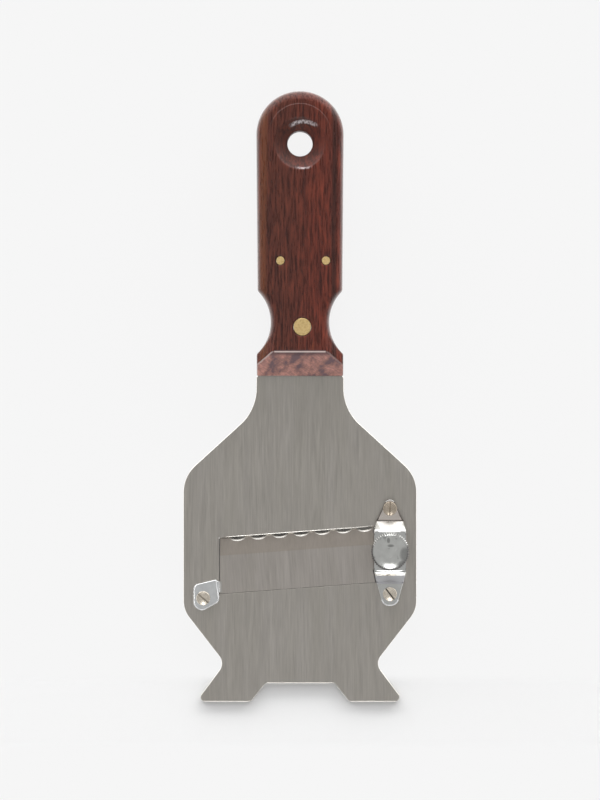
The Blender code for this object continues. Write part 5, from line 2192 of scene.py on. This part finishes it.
@dataclass
class Studio:
    """A plain pale floor, soft light from all round, and a camera straight above."""

    floor_size: float = 40.0
    floor_tilt: float = math.radians(3.6)
    feet_back_z: float = 0.00775
    paper_white: float = 0.9216
    paint: float = 0.855
    slot_shadow_paint: float = 0.30
    whiteness: float = 0.94
    feet_band: tuple[float, float] = (-0.1230, -0.0995)
    slot_patch: tuple[float, float] = (-0.0750, -0.0440)
    slot_patch_half_width: float = 0.0360
    band_softness: float = 0.0040
    patch_softness: float = 0.0010
    ceiling_low: float = 0.60
    horizon_high: float = 0.16
    floor_gap: float = 0.00005
    mirrored_white: float = 1.70
    overhead: float = 0.45
    overhead_low: float = 0.90
    side_level: float = 0.18
    horizon: float = 0.60
    softboxes: tuple[Softbox, ...] = (
        Softbox(1.45, (0.0, 1.0), 0.30, 0.68, 60.0),
        Softbox(10.60, (0.0, 1.0), 0.01, 0.30, 60.0, 0.22),
        Softbox(0.85, (0.0, -1.0), 0.20, 0.55, 45.0),
        Softbox(0.60, (1.0, 0.0), 0.02, 0.70, 42.0),
        Softbox(0.60, (-1.0, 0.0), 0.02, 0.70, 42.0),
    )
    lamps: tuple[Lamp, ...] = (
        Lamp("lamp_below_feet", 0.22, -29.0, 18.0),
        Lamp("lamp_beyond_feet", 0.22, -74.0, 14.0),
        Lamp("lamp_above_handle", 0.12, 38.0, 9.0),
    )
    lens: float = 300.0
    sensor: float = 36.0
    picture_height: float = 0.28128
    camera_y: float = -0.0012
    plate_z: float = 0.00925

    def lay_floor(self) -> None:
        """Lay the floor that the feet's back edge and the handle's back edge rest on."""
        sheet = Workpiece()
        bmesh.ops.create_grid(sheet.mesh, x_segments=8, y_segments=8, size=self.floor_size / 2)
        floor = sheet.solid("pale_floor")
        tilt = Matrix.Rotation(-self.floor_tilt, 4, "X")
        floor.data.transform(Matrix.Translation((0.0, FEET_Y, self.feet_back_z - self.floor_gap)) @ tilt)
        floor.data.materials.append(self.floor_paint())
        LOG.info("pale_floor: laid")

    def under_slot(self, recipe: Recipe) -> Socket:
        """The part of the floor right under the slot, which the plate hides and which is painted dark as its
        deep shadow.

        Args:
            recipe: the floor's material in the making.

        Returns:
            1 there and 0 on the rest of the floor.
        """
        half_width = self.slot_patch_half_width
        along = recipe.window(recipe.at("Y"), *self.slot_patch, self.patch_softness)
        across = recipe.window(recipe.at("X"), -half_width, half_width, self.patch_softness)
        return recipe.times(along, across)

    def floor_paint(self) -> Material:
        """Pale paint that looks nearly shadowless beyond the feet, with a painted shadow under the slot.

        Returns:
            The floor's material.
        """
        recipe = Recipe("floor_paint")
        slot = self.under_slot(recipe)
        feet = recipe.window(recipe.at("Y"), *self.feet_band, self.band_softness)
        # Painted shadow: the floor under the slot is painted dark, so the gaps round the blade show dark
        painted = recipe.blend(slot, shade(WHITE, self.paint), shade(WHITE, self.slot_shadow_paint))
        recipe.fill(recipe.shader, Base_Color=painted, Roughness=1.0, Specular_IOR_Level=0.0)
        path = recipe.add("ShaderNodeLightPath").outputs
        plain = recipe.times(path["Is Camera Ray"], self.paper_white)
        strength = recipe.calculate("MULTIPLY_ADD", path["Is Glossy Ray"], self.mirrored_white, plain)
        glow = recipe.add("ShaderNodeEmission", Color=(*WHITE, 1.0), Strength=strength)
        seen = recipe.most(path["Is Camera Ray"], path["Is Glossy Ray"])
        lit = recipe.times(recipe.minus(1.0, recipe.most(feet, slot)), self.whiteness)
        mix = recipe.add("ShaderNodeMixShader", Fac=recipe.times(seen, lit))
        recipe.feed(mix.inputs[1], recipe.shader.outputs[0])
        recipe.feed(mix.inputs[2], glow.outputs[0])
        recipe.fill(recipe.tree.nodes["Material Output"], Surface=mix.outputs[0])
        return recipe.material

    def light_sky(self) -> None:
        """Light the room: a dim ceiling, a pale horizon and the softboxes."""
        world = bpy.data.worlds.new("white_room")
        bpy.context.scene.world = world
        world.use_nodes = True
        bench = NodeBench(world.node_tree)
        way = bench.parts(bench.add("ShaderNodeTexCoord").outputs["Generated"])
        path = bench.add("ShaderNodeLightPath").outputs
        up = way["Z"]
        ceiling = bench.rescaled(up, self.ceiling_low, self.overhead_low, self.side_level, self.overhead)
        level = bench.most(ceiling, bench.rescaled(up, 0.0, self.horizon_high, self.horizon, 0.0))
        flat = bench.calculate("SQRT", bench.minus(1.0, bench.squared(up)))
        for box in self.softboxes:
            height = bench.window(up, box.low, box.high, box.soft)
            sideways = bench.times(way["X"], box.way[0])
            facing = bench.calculate("MULTIPLY_ADD", way["Y"], box.way[1], sideways)
            edge = math.cos(math.radians(box.half_turn))
            ahead = bench.calculate("DIVIDE", facing, flat)
            beside = bench.rescaled(ahead, edge - box.soft, edge + box.soft)
            dimming = (box.mirrored - 1) * box.radiance
            radiance = bench.calculate("MULTIPLY_ADD", path["Is Glossy Ray"], dimming, box.radiance)
            level = bench.most(level, bench.times(bench.times(height, beside), radiance))
        seen = path["Is Camera Ray"]
        hidden = bench.times(level, bench.minus(1.0, seen))
        strength = bench.plus(bench.times(seen, self.paper_white), hidden)
        bench.fill(bench.tree.nodes["Background"], Strength=strength, Color=(*WHITE, 1.0))

    def hang(self, lamp: Lamp) -> None:
        """Hang a small lamp.

        Args:
            lamp: the lamp.
        """
        light = bpy.data.lights.new(lamp.name, "SUN")
        light.energy = lamp.strength
        light.angle = math.radians(lamp.width)
        holder = bpy.data.objects.new(lamp.name, light)
        holder.rotation_euler = (-math.radians(lamp.lean), 0.0, 0.0)
        bpy.context.scene.collection.objects.link(holder)

    def set_camera(self) -> None:
        """Set the camera straight above the slicer."""
        optics = bpy.data.cameras.new("camera")
        optics.lens = self.lens
        optics.sensor_width = self.sensor
        camera = bpy.data.objects.new("camera", optics)
        distance = self.picture_height * self.lens / self.sensor
        camera.location = (0.0, self.camera_y, self.plate_z + distance)
        bpy.context.scene.collection.objects.link(camera)
        bpy.context.scene.camera = camera

    def build(self) -> None:
        """Set up floor, light and camera."""
        bpy.context.scene.view_settings.view_transform = "Standard"
        self.lay_floor()
        self.light_sky()
        for lamp in self.lamps:
            self.hang(lamp)
        self.set_camera()


def blade_finishes(turn: float) -> dict[BladeFace, Material]:
    """Mix the blade's finishes.

    Args:
        turn: the angle that the blade's brushing is turned by.

    Returns:
        The finish of each stretch.
    """
    flat = BrushedSteel("satin_blade", (0.507, 0.471, 0.438), turn=turn)
    grind = BrushedSteel("ground_edge", (0.475, 0.425, 0.380), 0.34, turn=turn, contrast=0.05)
    ear_rim = PolishedSteel("painted_highlight_ear_rim", (0.970, 0.975, 0.980), 0.25, metal=0.2)
    return {
        BladeFace.FLAT: flat.material(),
        BladeFace.GRIND: grind.material(),
        BladeFace.SCALLOP: PolishedSteel("bright_scallops", (0.850, 0.830, 0.790), 0.22).material(),
        BladeFace.EAR: PolishedSteel("polished_ear", (0.930, 0.945, 0.950), 0.12).material(),
        BladeFace.EAR_RIM: ear_rim.material(),
    }


def bridge_finishes() -> dict[StrapFace, Material]:
    """Mix the bridge's finishes.

    Returns:
        The finish of each stretch.
    """
    # Painted highlight on the upper slope, painted shade on the lower slope and side rims, painted highlight
    # on the lower rims
    upper = BrushedSteel("painted_highlight_slope", (0.960, 0.950, 0.930), 0.42, Grain.ACROSS_SLICER)
    lower = BrushedSteel("painted_shade_slope", (0.560, 0.560, 0.590), 0.50, Grain.ACROSS_SLICER, contrast=0.05,
                         metal=0.2)
    bright = PolishedSteel("painted_highlight_rim", (0.970, 0.975, 0.990), 0.30, metal=0.2)
    return {
        StrapFace.POLISHED: PolishedSteel("polished_bridge", (0.760, 0.765, 0.745)).material(),
        StrapFace.UPPER_SLOPE: upper.material(),
        StrapFace.LOWER_SLOPE: lower.material(),
        StrapFace.UPPER_FOOT: PolishedSteel("warm_foot", (0.870, 0.790, 0.725), 0.14).material(),
        StrapFace.DARK_RIM: PolishedSteel("painted_shade_rim", (0.230, 0.205, 0.185), 0.16).material(),
        StrapFace.BRIGHT_RIM: bright.material(),
    }


def main() -> None:
    """Build every piece of the slicer and its studio."""
    logging.basicConfig(level=logging.INFO, format="%(name)s %(message)s")
    steel_colour = (0.498, 0.469, 0.432)
    nickel_colour = (0.780, 0.695, 0.580)
    head_colour = (0.900, 0.815, 0.695)
    upper_colour = (0.620, 0.530, 0.425)
    knob_colour = (0.800, 0.805, 0.775)
    wood = Handle()
    plate = Plate()
    bridge = Bridge()
    blade = Blade(plate, bridge)
    brass = [
        Brass("rivet_large", "large_rivet", 0.0008, wood.end_y + 0.0174, 0.00305),
        Brass("pin_left", "left_pin", -0.0069, wood.end_y + 0.0406, 0.00143),
        Brass("pin_right", "right_pin", 0.0091, wood.end_y + 0.0406, 0.00143),
    ]
    ear_top = blade.ear_seat_z + blade.thickness
    foot_top = bridge.seat_z + bridge.thickness
    upper_y = bridge.y + bridge.screw_half_spacing
    lower_y = bridge.y - bridge.screw_half_spacing
    ear_turn, upper_turn, lower_turn = (math.radians(degrees) for degrees in (-40, 88, -52))
    # The last number of each screw is the share of the plating's colour that its slot's painted shade keeps
    screws = [
        SlottedScrew("blade_screw", "ear_screw", blade.screw_x, blade.screw_y, ear_top, ear_turn, 0.60),
        SlottedScrew("bridge_screw_upper", "upper_screw", bridge.x, upper_y, foot_top, upper_turn, 0.85),
        SlottedScrew("bridge_screw_lower", "lower_screw", bridge.x, lower_y, foot_top, lower_turn, 0.22),
    ]
    nuts = [
        Nut("blade_nut", "ear_nut", blade.screw_x, blade.screw_y),
        Nut("bridge_nut_upper", "upper_nut", bridge.x, upper_y),
        Nut("bridge_nut_lower", "lower_nut", bridge.x, lower_y),
    ]
    rods = [(piece.x, piece.y, piece.radius) for piece in brass]
    shanks = [(screw.x, screw.y, screw.shank_radius) for screw in screws]
    plate.dress(plate.build(wood, rods + shanks), BrushedSteel("satin_plate", steel_colour),
                PolishedSteel("polished_rim", (0.97, 0.94, 0.88), 0.20))
    wood.dress(wood.build(rods))
    ground_brass = GroundBrass("ground_brass", (0.980, 0.730, 0.345), (0.810, 0.560, 0.240))
    for piece in brass:
        piece.dress(piece.build(), ground_brass)
    blade.dress(blade.build(), blade_finishes(plate.slot_climb))
    bridge.dress(bridge.build(), bridge_finishes())
    for screw in screws:
        screw.dress(screw.build(), upper_colour if screw.y == upper_y else head_colour)
    for nut in nuts:
        nut.dress(nut.build(), nickel_colour)
    thumb = ThumbScrew(bridge.x, bridge.y)
    thumb.dress(thumb.build_screw(), thumb.build_washer(), thumb.build_ring(), knob_colour, nickel_colour)
    Studio().build()


if __name__ == "__main__":
    main()
